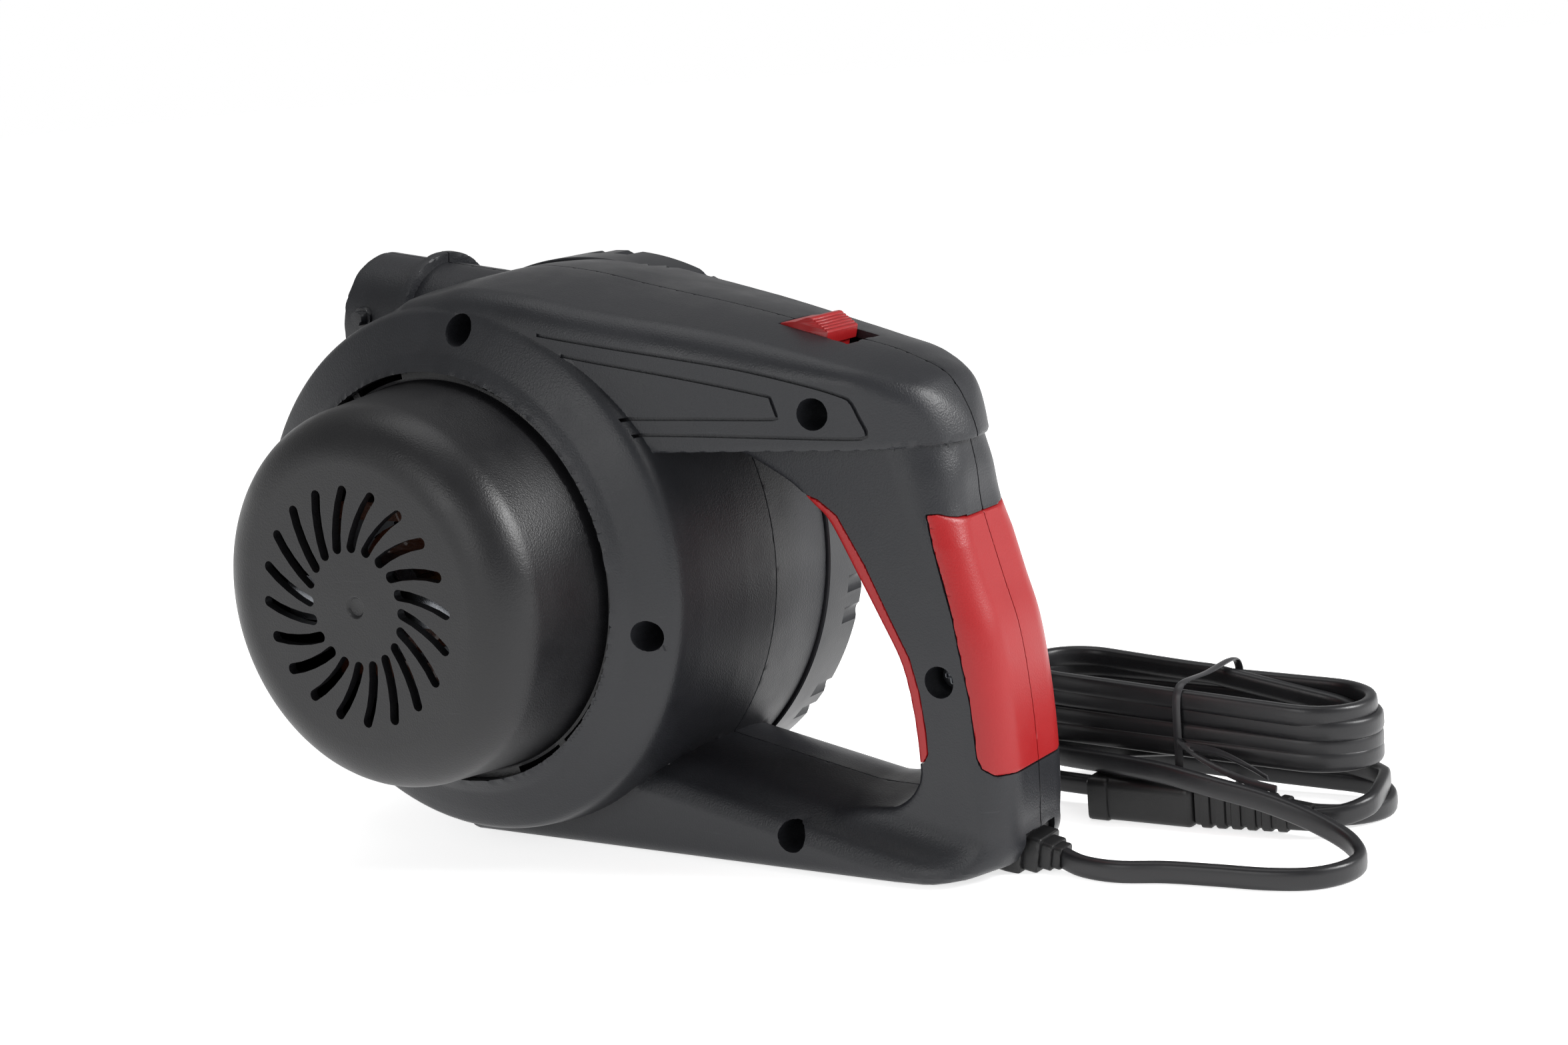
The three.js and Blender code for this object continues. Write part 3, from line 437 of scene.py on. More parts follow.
def mesh_of(name, field, low, high, step, sharp=SHARP):
    """Quads on the zero surface of a field, with its creases kept."""
    low = np.asarray(low, dtype=float)
    counts = [int(math.ceil((high[k] - low[k]) / step)) + 1 for k in range(3)]
    axes = [low[k] + step * np.arange(counts[k]) for k in range(3)]
    values = np.concatenate([field(*np.meshgrid(axes[0][i:i + 16], axes[1], axes[2], indexing="ij"))
                             for i in range(0, counts[0], 16)])
    stride = np.array([counts[1] * counts[2], counts[2], 1])
    flat = values.ravel()
    hits, cells, quads = [], [], []
    for k in range(3):
        u, v = (k + 1) % 3, (k + 2) % 3
        change = np.diff((values < 0).astype(np.int8), axis=k) != 0
        at = np.argwhere(change)
        at = at[(at[:, u] > 0) & (at[:, v] > 0) & (at[:, u] < counts[u] - 1) & (at[:, v] < counts[v] - 1)]
        start = flat[at @ stride]
        end = flat[at @ stride + stride[k]]
        t0, t1, f0, f1 = np.zeros(len(at)), np.ones(len(at)), start.copy(), end.copy()
        point = low + step * at
        base = point[:, k].copy()
        for _ in range(3):
            t = t0 - f0 * (t1 - t0) / (f1 - f0)
            point[:, k] = base + step * t
            f = field(*point.T)
            same = (f < 0) == (f0 < 0)
            t0, f0 = np.where(same, t, t0), np.where(same, f, f0)
            t1, f1 = np.where(same, t1, t), np.where(same, f1, f)
        four = []
        for du, dv in ((0, 0), (1, 0), (1, 1), (0, 1)):
            shift = np.zeros(3, dtype=int)
            shift[u], shift[v] = du, dv
            four.append((at - shift) @ stride)
        four = np.stack(four, axis=1)
        quads.append(np.where((start < 0)[:, None], four, four[:, ::-1]))
        hits.append(np.repeat(point, 4, axis=0))
        cells.append(four.ravel())
    hits, cells, quads = np.concatenate(hits), np.concatenate(cells), np.concatenate(quads)
    nudges = NORMAL_REACH * np.eye(3)
    normal = np.stack([field(*(hits + nudge).T) - field(*(hits - nudge).T) for nudge in nudges], axis=1)
    normal /= np.maximum(np.linalg.norm(normal, axis=1), 1e-9)[:, None]
    names, where = np.unique(cells, return_inverse=True)
    where = where.ravel()
    total = np.bincount(where).astype(float)
    middle = np.stack([np.bincount(where, hits[:, k]) / total for k in range(3)], axis=1)
    offset = (normal * (hits - middle[where])).sum(axis=1)
    square = np.empty((len(names), 3, 3))
    right = np.empty((len(names), 3))
    for i in range(3):
        right[:, i] = np.bincount(where, normal[:, i] * offset)
        for j in range(3):
            square[:, i, j] = np.bincount(where, normal[:, i] * normal[:, j])
    square += FLAT_PULL * total[:, None, None] * np.eye(3)
    corner = middle + np.linalg.solve(square, right[:, :, None])[:, :, 0]
    grid = np.stack([names // stride[0], names // stride[1] % counts[1], names % counts[2]], axis=1)
    floor = low + step * grid
    corner = np.clip(corner, floor, floor + step)
    faces = np.searchsorted(names, quads)
    return mesh_object(name, corner, faces.tolist(), sharp)


print("the mesher reads normals over", NORMAL_REACH, "mm")

# %% [markdown]
# ## The frame of the housing
#
# The arm over the drum, the grip and the base are side outlines given a width, a crown and rounded edges. The real
# ones are pulled from two mould halves, which is why every section is widest at or beside the seam.

# %% Frame fields
ARM_TOP = [(-14, 75.9), (-4, 77.6), (7.6, 79), (25.9, 77), (42.5, 73.5), (58.7, 70.3), (69.1, 68.3), (82.9, 65.3),
           (98, 61.6), (110.6, 58.4), (119.7, 56.1), (126.3, 53.7), (131, 51.7), (134.4, 49.6), (137, 46.4),
           (138.9, 42.9), (141.2, 38), (143, 33.4)]
ARM_HALF = [(-30, 38.6), (25, 38.5), (50, 36.5), (81, 30.5), (109, 25.5), (119, 23.6), (126, 21), (131, 18),
            (137, 13.5), (141, 8), (143, 3), (143.3, 0)]
UNDERSIDE = 33.6
GRIP_SIDE = [(100, -74), (107, -64), (113, -61.5), (121, -60), (126, -56.5), (128.9, -51.7), (129, -47),
             (128.7, -39.5), (127.4, -29), (125.2, -20.5), (120.3, -10.5), (114.3, 1.2), (107.5, 14),
             (103, 18.5), (96.5, 24), (85.5, 30), (77, 34), (66, 44)]
GRIP_BACK = [(137.6, 46), (138.8, 38), (139.8, 32), (140.9, 26), (141.3, 19), (142.1, 14.3), (146.6, -2),
             (150.3, -15.1), (152.4, -32.6), (153.2, -50.4), (152.4, -66), (149, -74)]
HANDLE_HALF = 19
HANDLE_FRONT_R = 1.5
ARM_CROWN = 3.2
BASE_TOP_Z = -50.2
BASE_SLOPE = 0.195
BASE_HALF = [(-16, 27.5), (124, 27.5), (132, 26.8), (139, 24.6), (145, 20.6), (149.6, 15), (152.3, 8), (153.3, 0)]
BASE_CROWN = [(0, 0), (10, 0.8), (18, 3), (23.5, 6.4), (27.5, 10), (40, 24)]
BASE_TAIL = [(-60, FLOOR - 0.1), (134, FLOOR), (141, -76.6), (147, -73.5), (151.4, -69), (152.4, -64),
             (153.4, -50), (153.4, 0), (-60, 0)]


def mirrored(half):
    """A plan outline from its half widths."""
    return [*half, *[(x, -w) for x, w in reversed(half) if w > 0]]


arm_half = curve_through(ARM_HALF, 2)
arm_side = table_of([(-30, 0), (-30, 68), *curve_through(ARM_TOP, 2), (143.4, 0)])
arm_plan = table_of(mirrored([(-60, 38.6), *map(tuple, arm_half)]))
grip_side = table_of([*curve_through(GRIP_SIDE, 2), *curve_through(GRIP_BACK, 2)])
base_plan = table_of(mirrored(BASE_HALF))
base_top = table_of([(-80, -140), (-80, BASE_TOP_Z + BASE_SLOPE * 139), (200, BASE_TOP_Z - BASE_SLOPE * 141),
                     (200, -140)])
base_tail = table_of(BASE_TAIL)
base_crown = curve_through(BASE_CROWN, 1)


def arm_field(x, y, z):
    wide = np.abs(y)
    half = np.interp(x, arm_half[:, 0], arm_half[:, 1])
    crown = ARM_CROWN * np.minimum(wide / np.maximum(half, 6), 1.3) ** 2
    r = np.interp(x, (90, 120), (7, 3.6))
    return round_max(round_max(arm_side(x, z + crown), arm_plan(x, y), r), UNDERSIDE - z, 0.8)


def grip_field(x, y, z):
    back = np.clip((x - (130.7 - 0.213 * z) + 5) / 10, 0, 1)
    r = HANDLE_FRONT_R + (np.interp(z, (8, 33), (10.5, 16)) - HANDLE_FRONT_R) * back * back * (3 - 2 * back)
    body = round_max(grip_side(x, z), np.abs(y) - HANDLE_HALF, r)
    return np.maximum(body, z - UNDERSIDE - 0.6)


def base_field(x, y, z):
    crown = np.interp(np.abs(y), base_crown[:, 0], base_crown[:, 1])
    foot = round_max(base_plan(x, y), FLOOR - z, 4.5)
    return round_max(round_max(foot, base_top(x, z + crown), 3), base_tail(x, z), 1.5)


def frame_field(x, y, z):
    body = np.minimum(arm_field(x, y, z), grip_field(x, y, z))
    return smooth_min(body, base_field(x, y, z), 6)


print("arm, grip and base are ready")

# %% [markdown]
# ## Drum, wells, slots and recesses
#
# The drum is turned about the motor axis: its near rim rolls in to a bevel round the opening for the motor cap.
# Screws sink into round wells, the switch has a slot and a pocket, the cord leaves through a square mouth, and the
# red panels sit in shallow recesses. Their places and outlines are set here, before any of them is cut.

# %% Housing sizes
SEAM = 0.15
FAR_JOINT = 24.25
DRUM = [(0, FAR_JOINT), (77.4, FAR_JOINT), (77.2, 0), (76, -12), (75, -20), (73.9, -29), (72.9, -35.4),
        (72.3, -37.4), (71.2, -38.8), (69.5, -39.8), (66.5, -41.2), (60.5, -43.6), (56.2, -46.6), (0, -46.6)]
DRUM_HOLLOW = [(-5, 40), (74.8, 40), (74.8, 0), (72.4, -20), (70.3, -33), (66, -38.2), (61, -41), (58.2, -41),
               (58.2, -43.5), (56.2, -43.5), (56.2, -60), (-5, -60)]
NOZZLE_END = (-52.3, 65.8)
NOZZLE_TILT = math.radians(7.9)
SLOT_AT = (99.8, 61)
SLOT_TILT = math.radians(14)
EXIT_AT = (146.4, -72.6)
EXIT_TILT = math.radians(10)
SCREWS = [(9.8, 66.6), (63.8, -13), (-62, -20), (109.3, 43), (136.8, -25.8), (93.6, -68.4)]
WELL_R = 4.1
WELL_WALL = 2.2
PANEL_GAP = 0.12
RECESS = 2.6
REAR_ZONE = [(135.3, 16.6), (138.6, 2.5), (141.5, -9.2), (143.2, -19.3), (145, -31.2), (145.9, -45),
             (146.8, -47.6), (149.6, -49.8), (160, -50.6), (170, -50.6), (165, 14.6), (142, 14.6), (137.6, 16.6)]
FRONT_ZONE = [(97, 22.4), (104.6, 19.9), (110, 16), (117.3, 3.4), (123.6, -10), (128.6, -20.2), (130.8, -29),
              (131.9, -39), (132, -45), (130.6, -47.3), (127.8, -48), (124, -47.8), (110, -30), (95, 10)]

drum_outer = table_of([*[(-r, y) for r, y in DRUM[1:]][::-1], *DRUM[1:]])
drum_inner = table_of(DRUM_HOLLOW)
rear_zone = table_of(REAR_ZONE)
front_zone = table_of(FRONT_ZONE)


print(len(SCREWS), "wells, and recesses", RECESS, "mm deep")

# %% [markdown]
# ## Nozzle
#
# A short nozzle with a collar and two bayonet pegs stands in a relief, so that a hose end can slide over it. It
# falls a little towards its root, so its fields use distances along and above a tilted line instead of X and Z.

# %% Nozzle fields
def tilted(x, z, at, tilt):
    """Distances along and above a line that falls towards +X."""
    along = (x - at[0]) * math.cos(tilt) - (z - at[1]) * math.sin(tilt)
    above = (x - at[0]) * math.sin(tilt) + (z - at[1]) * math.cos(tilt)
    return along, above


def box_field(a, b, c, half):
    """A box with sharp edges about the origin of three coordinates."""
    return np.maximum(np.maximum(np.abs(a) - half[0], np.abs(b) - half[1]), np.abs(c) - half[2])


def nozzle_fields(x, y, z):
    """The tube with its collar and pegs, its bore, and the room around it."""
    along, above = tilted(x, z, NOZZLE_END, NOZZLE_TILT)
    r = np.hypot(y, above)
    tube = np.maximum(round_max(r - 18, -along, 0.7), along - 50)
    collar = round_max(np.maximum(20.5 - along, along - 23.5), r - 20.8, 0.6)
    peg = np.hypot(along - 7.6, above - 2.4)
    boss = np.maximum(peg - 3, np.abs(y) - 18.8)
    stem = round_max(peg - 2, np.abs(y) - 21.4, 0.5)
    pegs = np.maximum(np.minimum(boss, stem), 16.5 - np.abs(y))
    solid = np.minimum(np.minimum(tube, collar), pegs)
    return solid, np.maximum(r - 15.8, along - 56), np.maximum(r - 22.6, along - 19.5)


print("nozzle tilts", round(math.degrees(NOZZLE_TILT), 1), "degrees")

# %% [markdown]
# ## The two halves
#
# All the bodies are joined, then the hollows, wells, slots and recesses are taken away. The halves are the same
# field cut at the seam with a small gap, so their outsides always agree. A grid step a little over a millimetre
# keeps each half under two hundred thousand triangles.

# %% Housing halves
HALF_STEP = 1.1


def zone_field(x, z):
    return np.minimum(rear_zone(x, z), front_zone(x, z))


def housing_field(x, y, z):
    radius = np.hypot(x, z)
    drum = drum_outer(radius, y)
    frame_part = frame_field(x, y, z)
    frame_part = np.maximum(frame_part, -np.maximum(radius - 79, FAR_JOINT - y))
    recess = np.maximum(zone_field(x, z) - PANEL_GAP, -(frame_part + RECESS))
    frame_part = np.maximum(frame_part, -recess)
    body = np.minimum(drum, frame_part)
    nozzle, bore, relief = nozzle_fields(x, y, z)
    nozzle = np.maximum(nozzle, 70 - radius)
    body = np.minimum(np.maximum(body, -relief), nozzle)
    hollow = np.maximum(drum_inner(radius, y), 2.6 - relief)
    hollow = np.maximum(hollow, -nozzle)
    along, above = tilted(x, z, SLOT_AT, SLOT_TILT)
    hollow = np.minimum(hollow, box_field(along + 4, y, above + 12.7, (19, 10.2, 10.3)))
    for sx, sz in SCREWS:
        hollow = np.maximum(hollow, WELL_R + WELL_WALL - np.hypot(x - sx, z - sz))
    body = np.maximum(body, -hollow)
    body = np.maximum(body, -bore)
    for sx, sz in SCREWS:
        well = np.maximum(np.hypot(x - sx, z - sz) - WELL_R, y + 9)
        body = np.maximum(body, -well)
    body = np.maximum(body, -box_field(along, y, above, (10.8, 7.7, 9)))
    along, above = tilted(x, z, EXIT_AT, EXIT_TILT)
    return np.maximum(body, -box_field(along, y, above, (15, 7.7, 6.2)))


def near_field(x, y, z):
    return np.maximum(housing_field(x, y, z), y + SEAM)


def far_field(x, y, z):
    return np.maximum(housing_field(x, y, z), SEAM - y)


near = mesh_of("near_half", near_field, (-80.4, -48.3, -80.4), (155.4, 2, 86.3), HALF_STEP)
far = mesh_of("far_half", far_field, (-80.4, -2, -80.4), (155.4, 41, 86.3), HALF_STEP)
for half in (near, far):
    half.data.calc_loop_triangles()
    print(half.name, "has", len(half.data.loop_triangles), "triangles")

# %% [markdown]
# ## Grooves in the near wall
#
# Two decorative grooves follow the shape of the arm. In the mould they are thin ridges. Here a ribbon less than a
# millimetre wide follows each line at the depth of the wall and is cut out of the near half.

# %% Grooves
GROOVE_W = 0.9
GROOVE_DEPTH = 0.8
OUTER_GROOVE = [(34, 64.9), (37, 64.4), (53.6, 61.5), (72, 58.2), (91, 54.6), (108, 50.4), (117, 47.6),
                (119.6, 46), (121.4, 42), (123, 38.2), (122.6, 36.8), (119, 36.6), (100, 37.2), (80, 37.9),
                (60, 38.5)]
INNER_GROOVE = [(41, 59.4), (45.2, 58.6), (70, 53.8), (96, 48.2), (98.2, 47.2), (99.4, 44), (99.6, 42.4),
                (98, 41.9), (80, 42.2), (56, 42.7)]


def groove_cutter(name, line):
    line = curve_through(line, 1.5)
    ahead = np.gradient(line, axis=0)
    ahead /= np.linalg.norm(ahead, axis=1)[:, None]
    side = np.stack([-ahead[:, 1], ahead[:, 0]], axis=1) * GROOVE_W / 2
    wall = -np.interp(line[:, 0], arm_half[:, 0], arm_half[:, 1])
    rings = []
    for p, s, y in zip(line, side, wall):
        rings.append([(p[0] + s[0], y - 2.5, p[1] + s[1]), (p[0] + s[0], y + GROOVE_DEPTH, p[1] + s[1]),
                      (p[0] - s[0], y + GROOVE_DEPTH, p[1] - s[1]), (p[0] - s[0], y - 2.5, p[1] - s[1])])
    return loft(name, rings)


for name, line in (("outer_groove", OUTER_GROOVE), ("inner_groove", INNER_GROOVE)):
    cut(near, groove_cutter(name, line), solver="EXACT")
near.data.shade_smooth()
near.data.set_sharp_from_angle(angle=SHARP)
print("near half now has", len(near.data.polygons), "faces")

# %% [markdown]
# ## Red panels
#
# Soft-touch panels in red fill the recesses of the grip: one wraps round its back, one runs down the finger side.
# They use the same field as the grip, so they lie flush with it, with a fine gap all round.

# %% Panels
PANEL_T = 2.3
PANEL_EDGE = 0.5


def panel_field(zone, side):
    def field(x, y, z):
        skin = frame_field(x, y, z)
        panel = np.maximum(round_max(skin, zone(x, z) + PANEL_GAP, PANEL_EDGE), -(skin + PANEL_T))
        return np.maximum(panel, SEAM - side * y)
    return field


panels = []
for name, zone, low, high in (("rear_grip", rear_zone, (133, 0, -52), (156, 0, 18)),
                              ("front_grip", front_zone, (95, 0, -50), (134, 0, 24))):
    for where, side in (("near", -1), ("far", 1)):
        y0, y1 = (-20.3, 1) if side < 0 else (-1, 20.3)
        panel = mesh_of(f"{name}_panel_{where}", panel_field(zone, side), (low[0], y0, low[2]),
                        (high[0], y1, high[2]), 0.8)
        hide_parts(f"{name}_{where}")
        panels.append(panel)
print("panels:", [len(p.data.polygons) for p in panels])

# %% [markdown]
# ## Adding nodes
#
# Node trees make both the repeated shapes and the finishes. One small helper adds any node, sets what it is told
# and links what comes from another node, so that a tree reads from its source to its end.

# %% Node helper
def node(tree, kind, inputs=None, **settings):
    """Adds a node, with its settings, and sets or links its inputs."""
    made = tree.nodes.new(kind)
    for key, value in settings.items():
        setattr(made, key, value)
    for key, value in (inputs or {}).items():
        if isinstance(value, bpy.types.NodeSocket):
            tree.links.new(value, made.inputs[key])
        else:
            made.inputs[key].default_value = value
    return made


print("one helper adds every node below")

# %% [markdown]
# ## What repeats
#
# Slots, notches, spokes and ribs are made by Geometry Nodes: a small tree repeats one shape round an axis or along
# a line, and its count and pitch are inputs. Drawing every slot by hand would make the count hard to change.

# %% Repeating trees
def new_tree(name, numbers):
    """An empty tree with a shape, a few named sizes and a material going in."""
    tree = bpy.data.node_groups.new(name, "GeometryNodeTree")
    for label, kind in [("Geometry", "NodeSocketGeometry"), *numbers, ("Material", "NodeSocketMaterial")]:
        tree.interface.new_socket(label, in_out="INPUT", socket_type=kind)
    tree.interface.new_socket("Geometry", in_out="OUTPUT", socket_type="NodeSocketGeometry")
    return tree, node(tree, "NodeGroupInput").outputs


def finish_tree(tree, given, instances):
    """Makes the copies real and gives them their material."""
    real = node(tree, "GeometryNodeRealizeInstances", {0: instances})
    coat = node(tree, "GeometryNodeSetMaterial", {"Geometry": real.outputs[0], "Material": given["Material"]})
    node(tree, "NodeGroupOutput", {0: coat.outputs[0]})
    return tree


def ring_tree():
    """Copies of a shape turned about an axis along Y, evenly round the circle."""
    tree, given = new_tree("round_the_axis", [("Count", "NodeSocketInt"), ("Axis", "NodeSocketVector")])
    back = node(tree, "ShaderNodeVectorMath", {0: given["Axis"], "Scale": -1}, operation="SCALE")
    there = node(tree, "GeometryNodeTransform", {"Geometry": given["Geometry"], "Translation": back.outputs[0]})
    line = node(tree, "GeometryNodeMeshLine", {"Count": given["Count"], "Offset": (0, 0, 0)})
    index = node(tree, "GeometryNodeInputIndex")
    share = node(tree, "ShaderNodeMath", {0: index.outputs[0], 1: given["Count"]}, operation="DIVIDE")
    angle = node(tree, "ShaderNodeMath", {0: share.outputs[0], 1: 2 * math.pi}, operation="MULTIPLY")
    spin = node(tree, "ShaderNodeCombineXYZ", {"Y": angle.outputs[0]})
    copies = node(tree, "GeometryNodeInstanceOnPoints", {"Points": line.outputs[0], "Instance": there.outputs[0],
                                                         "Rotation": spin.outputs[0]})
    home = node(tree, "GeometryNodeTransform", {"Geometry": copies.outputs[0], "Translation": given["Axis"]})
    return finish_tree(tree, given, home.outputs[0])


def row_tree():
    """Copies of a shape along a line, each a fixed step from the last."""
    tree, given = new_tree("along_a_line", [("Count", "NodeSocketInt"), ("Step", "NodeSocketVector")])
    line = node(tree, "GeometryNodeMeshLine", {"Count": given["Count"], "Offset": given["Step"]})
    copies = node(tree, "GeometryNodeInstanceOnPoints", {"Points": line.outputs[0], "Instance": given["Geometry"]})
    return finish_tree(tree, given, copies.outputs[0])


def repeat(piece, tree, **values):
    """Runs a repeating tree on a piece, with its inputs set by the identifiers of their sockets."""
    change = piece.modifiers.new("repeat", "NODES")
    change.node_group = tree
    for item in tree.interface.items_tree:
        label = item.name.lower()
        if item.in_out == "INPUT" and label in values:
            change[item.identifier] = values[label]
    bake(piece)
    return piece


RING = ring_tree()
ROW = row_tree()
AXIS = place(0, 0, 0)
print("trees:", RING.name, ROW.name)

# %% [markdown]
# ## Motor cap
#
# The cap is a drum with a rounded edge on a thin flange. Twenty slots swirl round the middle of its face and arc
# vents break the flange. It is turned as one solid, cut, and its cut edges are rounded a little.

# %% Motor cap
CAP_FOOT_R = 53.6
CAP_SHOULDER_R = 51.6
CAP_FACE_Y = -80.8
CAP_CORNER_R = 14
FLANGE_Y = -43.2
FLANGE_R = 57.8
SWIRLS = 20
SWIRL_HALF = 1.5
FLANGE_VENTS = [(100, 117.5), (120, 137.5), (163, 188), (212, 237), (44.8, 70.5), (-5.4, 19.1), (-51.3, -31.6),
                (-71.4, -54.1)]


def cap_profile():
    corner = [(CAP_SHOULDER_R - CAP_CORNER_R * (1 - math.cos(math.radians(a))),
               CAP_FACE_Y + CAP_CORNER_R * (1 - math.sin(math.radians(a)))) for a in range(0, 91, 6)]
    back = FLANGE_Y + 2
    foot = [(FLANGE_R, back), (FLANGE_R, FLANGE_Y + 0.3), (FLANGE_R - 0.3, FLANGE_Y), (CAP_FOOT_R + 0.9, FLANGE_Y),
            (CAP_FOOT_R + 0.25, FLANGE_Y - 0.25), (CAP_FOOT_R, FLANGE_Y - 0.9)]
    dimple = [(3.2, CAP_FACE_Y), (2.8, CAP_FACE_Y + 0.15), (2.3, CAP_FACE_Y + 0.8), (0, CAP_FACE_Y + 0.8)]
    inside = [(0, CAP_FACE_Y + 2.6), (36, CAP_FACE_Y + 2.6), (44, CAP_FACE_Y + 6),
              (CAP_SHOULDER_R - 2.6, CAP_FACE_Y + 15), (CAP_FOOT_R - 2.6, back), (FLANGE_R, back)]
    return foot + corner + dimple + inside


def swirl_slot():
    """One slot: a ribbon with round ends that turns a little as it runs inwards."""
    middle = np.array([polar(r, a) for r, a in ((30.7, 0), (27.2, 3.4), (23.4, 7), (19.6, 10.9), (16, 14.8))])
    ahead = np.gradient(middle, axis=0)
    ahead /= np.linalg.norm(ahead, axis=1)[:, None]
    side = np.stack([-ahead[:, 1], ahead[:, 0]], axis=1)
    outline = [middle[k] + SWIRL_HALF * side[k] for k in range(5)]
    turns = np.radians(np.arange(20, 161, 20))
    outline += [middle[-1] + SWIRL_HALF * (math.cos(t) * side[-1] + math.sin(t) * ahead[-1]) for t in turns]
    outline += [middle[k] - SWIRL_HALF * side[k] for k in range(4, -1, -1)]
    outline += [middle[0] - SWIRL_HALF * (math.cos(t) * side[0] + math.sin(t) * ahead[0]) for t in turns]
    return prism("swirl_slots", [tuple(p) for p in outline], CAP_FACE_Y - 3, CAP_FACE_Y + 6)


cap = lathe("motor_cover", cap_profile(), 192)
slots = repeat(swirl_slot(), RING, count=SWIRLS, axis=AXIS)
cut(cap, slots, solver="EXACT")
for number, (start, end) in enumerate(FLANGE_VENTS):
    angles = np.linspace(start, end, 12)
    arc = [polar(FLANGE_R + 2, a) for a in angles] + [polar(CAP_FOOT_R + 1, a) for a in angles[::-1]]
    cut(cap, prism(f"vent_{number}", arc, FLANGE_Y - 1, FLANGE_Y + 3), solver="EXACT")
bevel(cap, 0.25, 2, 50)
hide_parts("motor_cap")
print("motor cap has", len(cap.data.polygons), "faces")

# %% [markdown]
# ## Intake side
#
# A shallow dish closes the far side. Its rim has pairs of grip notches and its middle has a round opening with a
# grille of two rings and six spokes on a hub, which keeps fingers away from the fan.

# %% Intake cover and grille
COVER_R = 78.4
COVER_Y = 44
NOTCHES = 14


def notch_pair():
    made = None
    for angle in (-11.5, -18.5):
        x, z = polar(COVER_R + 1.5, angle)
        ring = [(x + polar(3, a)[0], z + polar(3, a)[1]) for a in range(0, 360, 18)]
        pin = prism("notches", ring, COVER_Y - 9, COVER_Y + 2)
        made = pin if made is None else cut(made, pin, "UNION")
    return made


cover = lathe("intake_side", [(34, 36), (34, 38), (34.6, 38.7), (60, 40.6), (66.4, 43.4), (68.2, COVER_Y),
                              (76.6, COVER_Y), (77.6, 43.6), (COVER_R, 42.4), (COVER_R, 25.1), (78, 24.7),
                              (75.8, 24.7), (75.8, 40.4), (68, 41.4), (60, 38), (34, 36)], 224)
cut(cover, repeat(notch_pair(), RING, count=NOTCHES, axis=AXIS), solver="EXACT")
bevel(cover, 0.3, 2, 50)
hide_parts("intake_cover")

grille = lathe("intake_guard", [(31, 35.2), (33.7, 35.2), (33.7, 38.9), (33.4, 39.2), (31.3, 39.2), (31, 38.9),
                                (31, 35.2)], 96)
for inner in (16, 24):
    ring = lathe("guard_ring", [(inner, 36.7), (inner + 2.4, 36.7), (inner + 2.4, 38.4), (inner + 2, 38.7),
                                (inner + 0.4, 38.7), (inner, 38.4), (inner, 36.7)], 96)
    cut(grille, ring, "UNION")
hub = lathe("guard_hub", [(0, 36.2), (9, 36.2), (9, 38.4), (8.2, 39.2), (0, 39.2)], 64)
cut(grille, hub, "UNION")
spoke = prism("guard_spokes", [(7, -1.2), (32, -1.2), (32, 1.2), (7, 1.2)], 36.6, 38.6)
cut(grille, repeat(spoke, RING, count=6, axis=AXIS), "UNION")
bevel(grille, 0.2, 2, 50)
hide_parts("intake_grille")
print("cover and grille have", len(cover.data.polygons), "and", len(grille.data.polygons), "faces")

# %% [markdown]
# ## Switch
#
# The slide switch has a thin tip in front, a peak, and a ribbed slope behind it for the thumb. The ribs come from
# one cutter repeated along the slope.

# %% Switch
def tilt_place(along, above):
    """A point given along and above the top at the switch, back in X and Z."""
    return (SLOT_AT[0] + along * math.cos(SLOT_TILT) + above * math.sin(SLOT_TILT),
            SLOT_AT[1] - along * math.sin(SLOT_TILT) + above * math.cos(SLOT_TILT))


KNOB = [(-10.4, -2.2), (-10.4, 0.1), (-9.6, 0.4), (-6, 1.5), (-3, 3.2), (-2, 3.6), (-1.2, 3.65), (3.4, 1.7),
        (4.2, 1.2), (4.2, -2.2)]
RIB_PITCH = 0.92


def knob_body():
    outline = [tilt_place(*p) for p in KNOB]
    body = prism("switch_knob", outline, -7.3, 7.3)
    rail = prism("rail", [tilt_place(*p) for p in ((-13.4, -7), (7.2, -7), (7.2, -5.2), (-13.4, -5.2))], -9.6, 9.6)
    stem = prism("stem", [tilt_place(*p) for p in ((-9.4, -6), (3.2, -6), (3.2, -1), (-9.4, -1))], -6, 6)
    fork = prism("fork", [tilt_place(*p) for p in ((-12, -11.4), (-9.6, -11.4), (-9.6, -6), (-12, -6))], -2, 2)
    for part in (stem, rail, fork):
        cut(body, part, "UNION")
    return body


knob = knob_body()
first, second = tilt_place(-0.5, 3.3), tilt_place(-0.5 + RIB_PITCH, 3.3 - 0.42 * RIB_PITCH)
valley = [tilt_place(*p) for p in ((-0.72, 4.4), (-0.6, 3), (-0.38, 2.65), (-0.16, 2.95), (-0.04, 4.4))]
step_x, step_z = (second[0] - first[0]) * MM, (second[1] - first[1]) * MM
valleys = repeat(prism("valleys", valley, -9, 9), ROW, count=5, step=(step_x, 0, step_z))
bevel(knob, 0.25, 2, 40)
cut(knob, valleys, solver="EXACT")
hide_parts("switch_slider")
print("switch knob has", len(knob.data.polygons), "faces")

# %% [markdown]
# ## Screws
#
# Six pan-head screws with a cross recess sit at the bottom of the wells. Copies by Geometry Nodes would become one
# mesh, but each screw can be taken out on its own. So a loop turns each one, cuts its cross and moves it there.

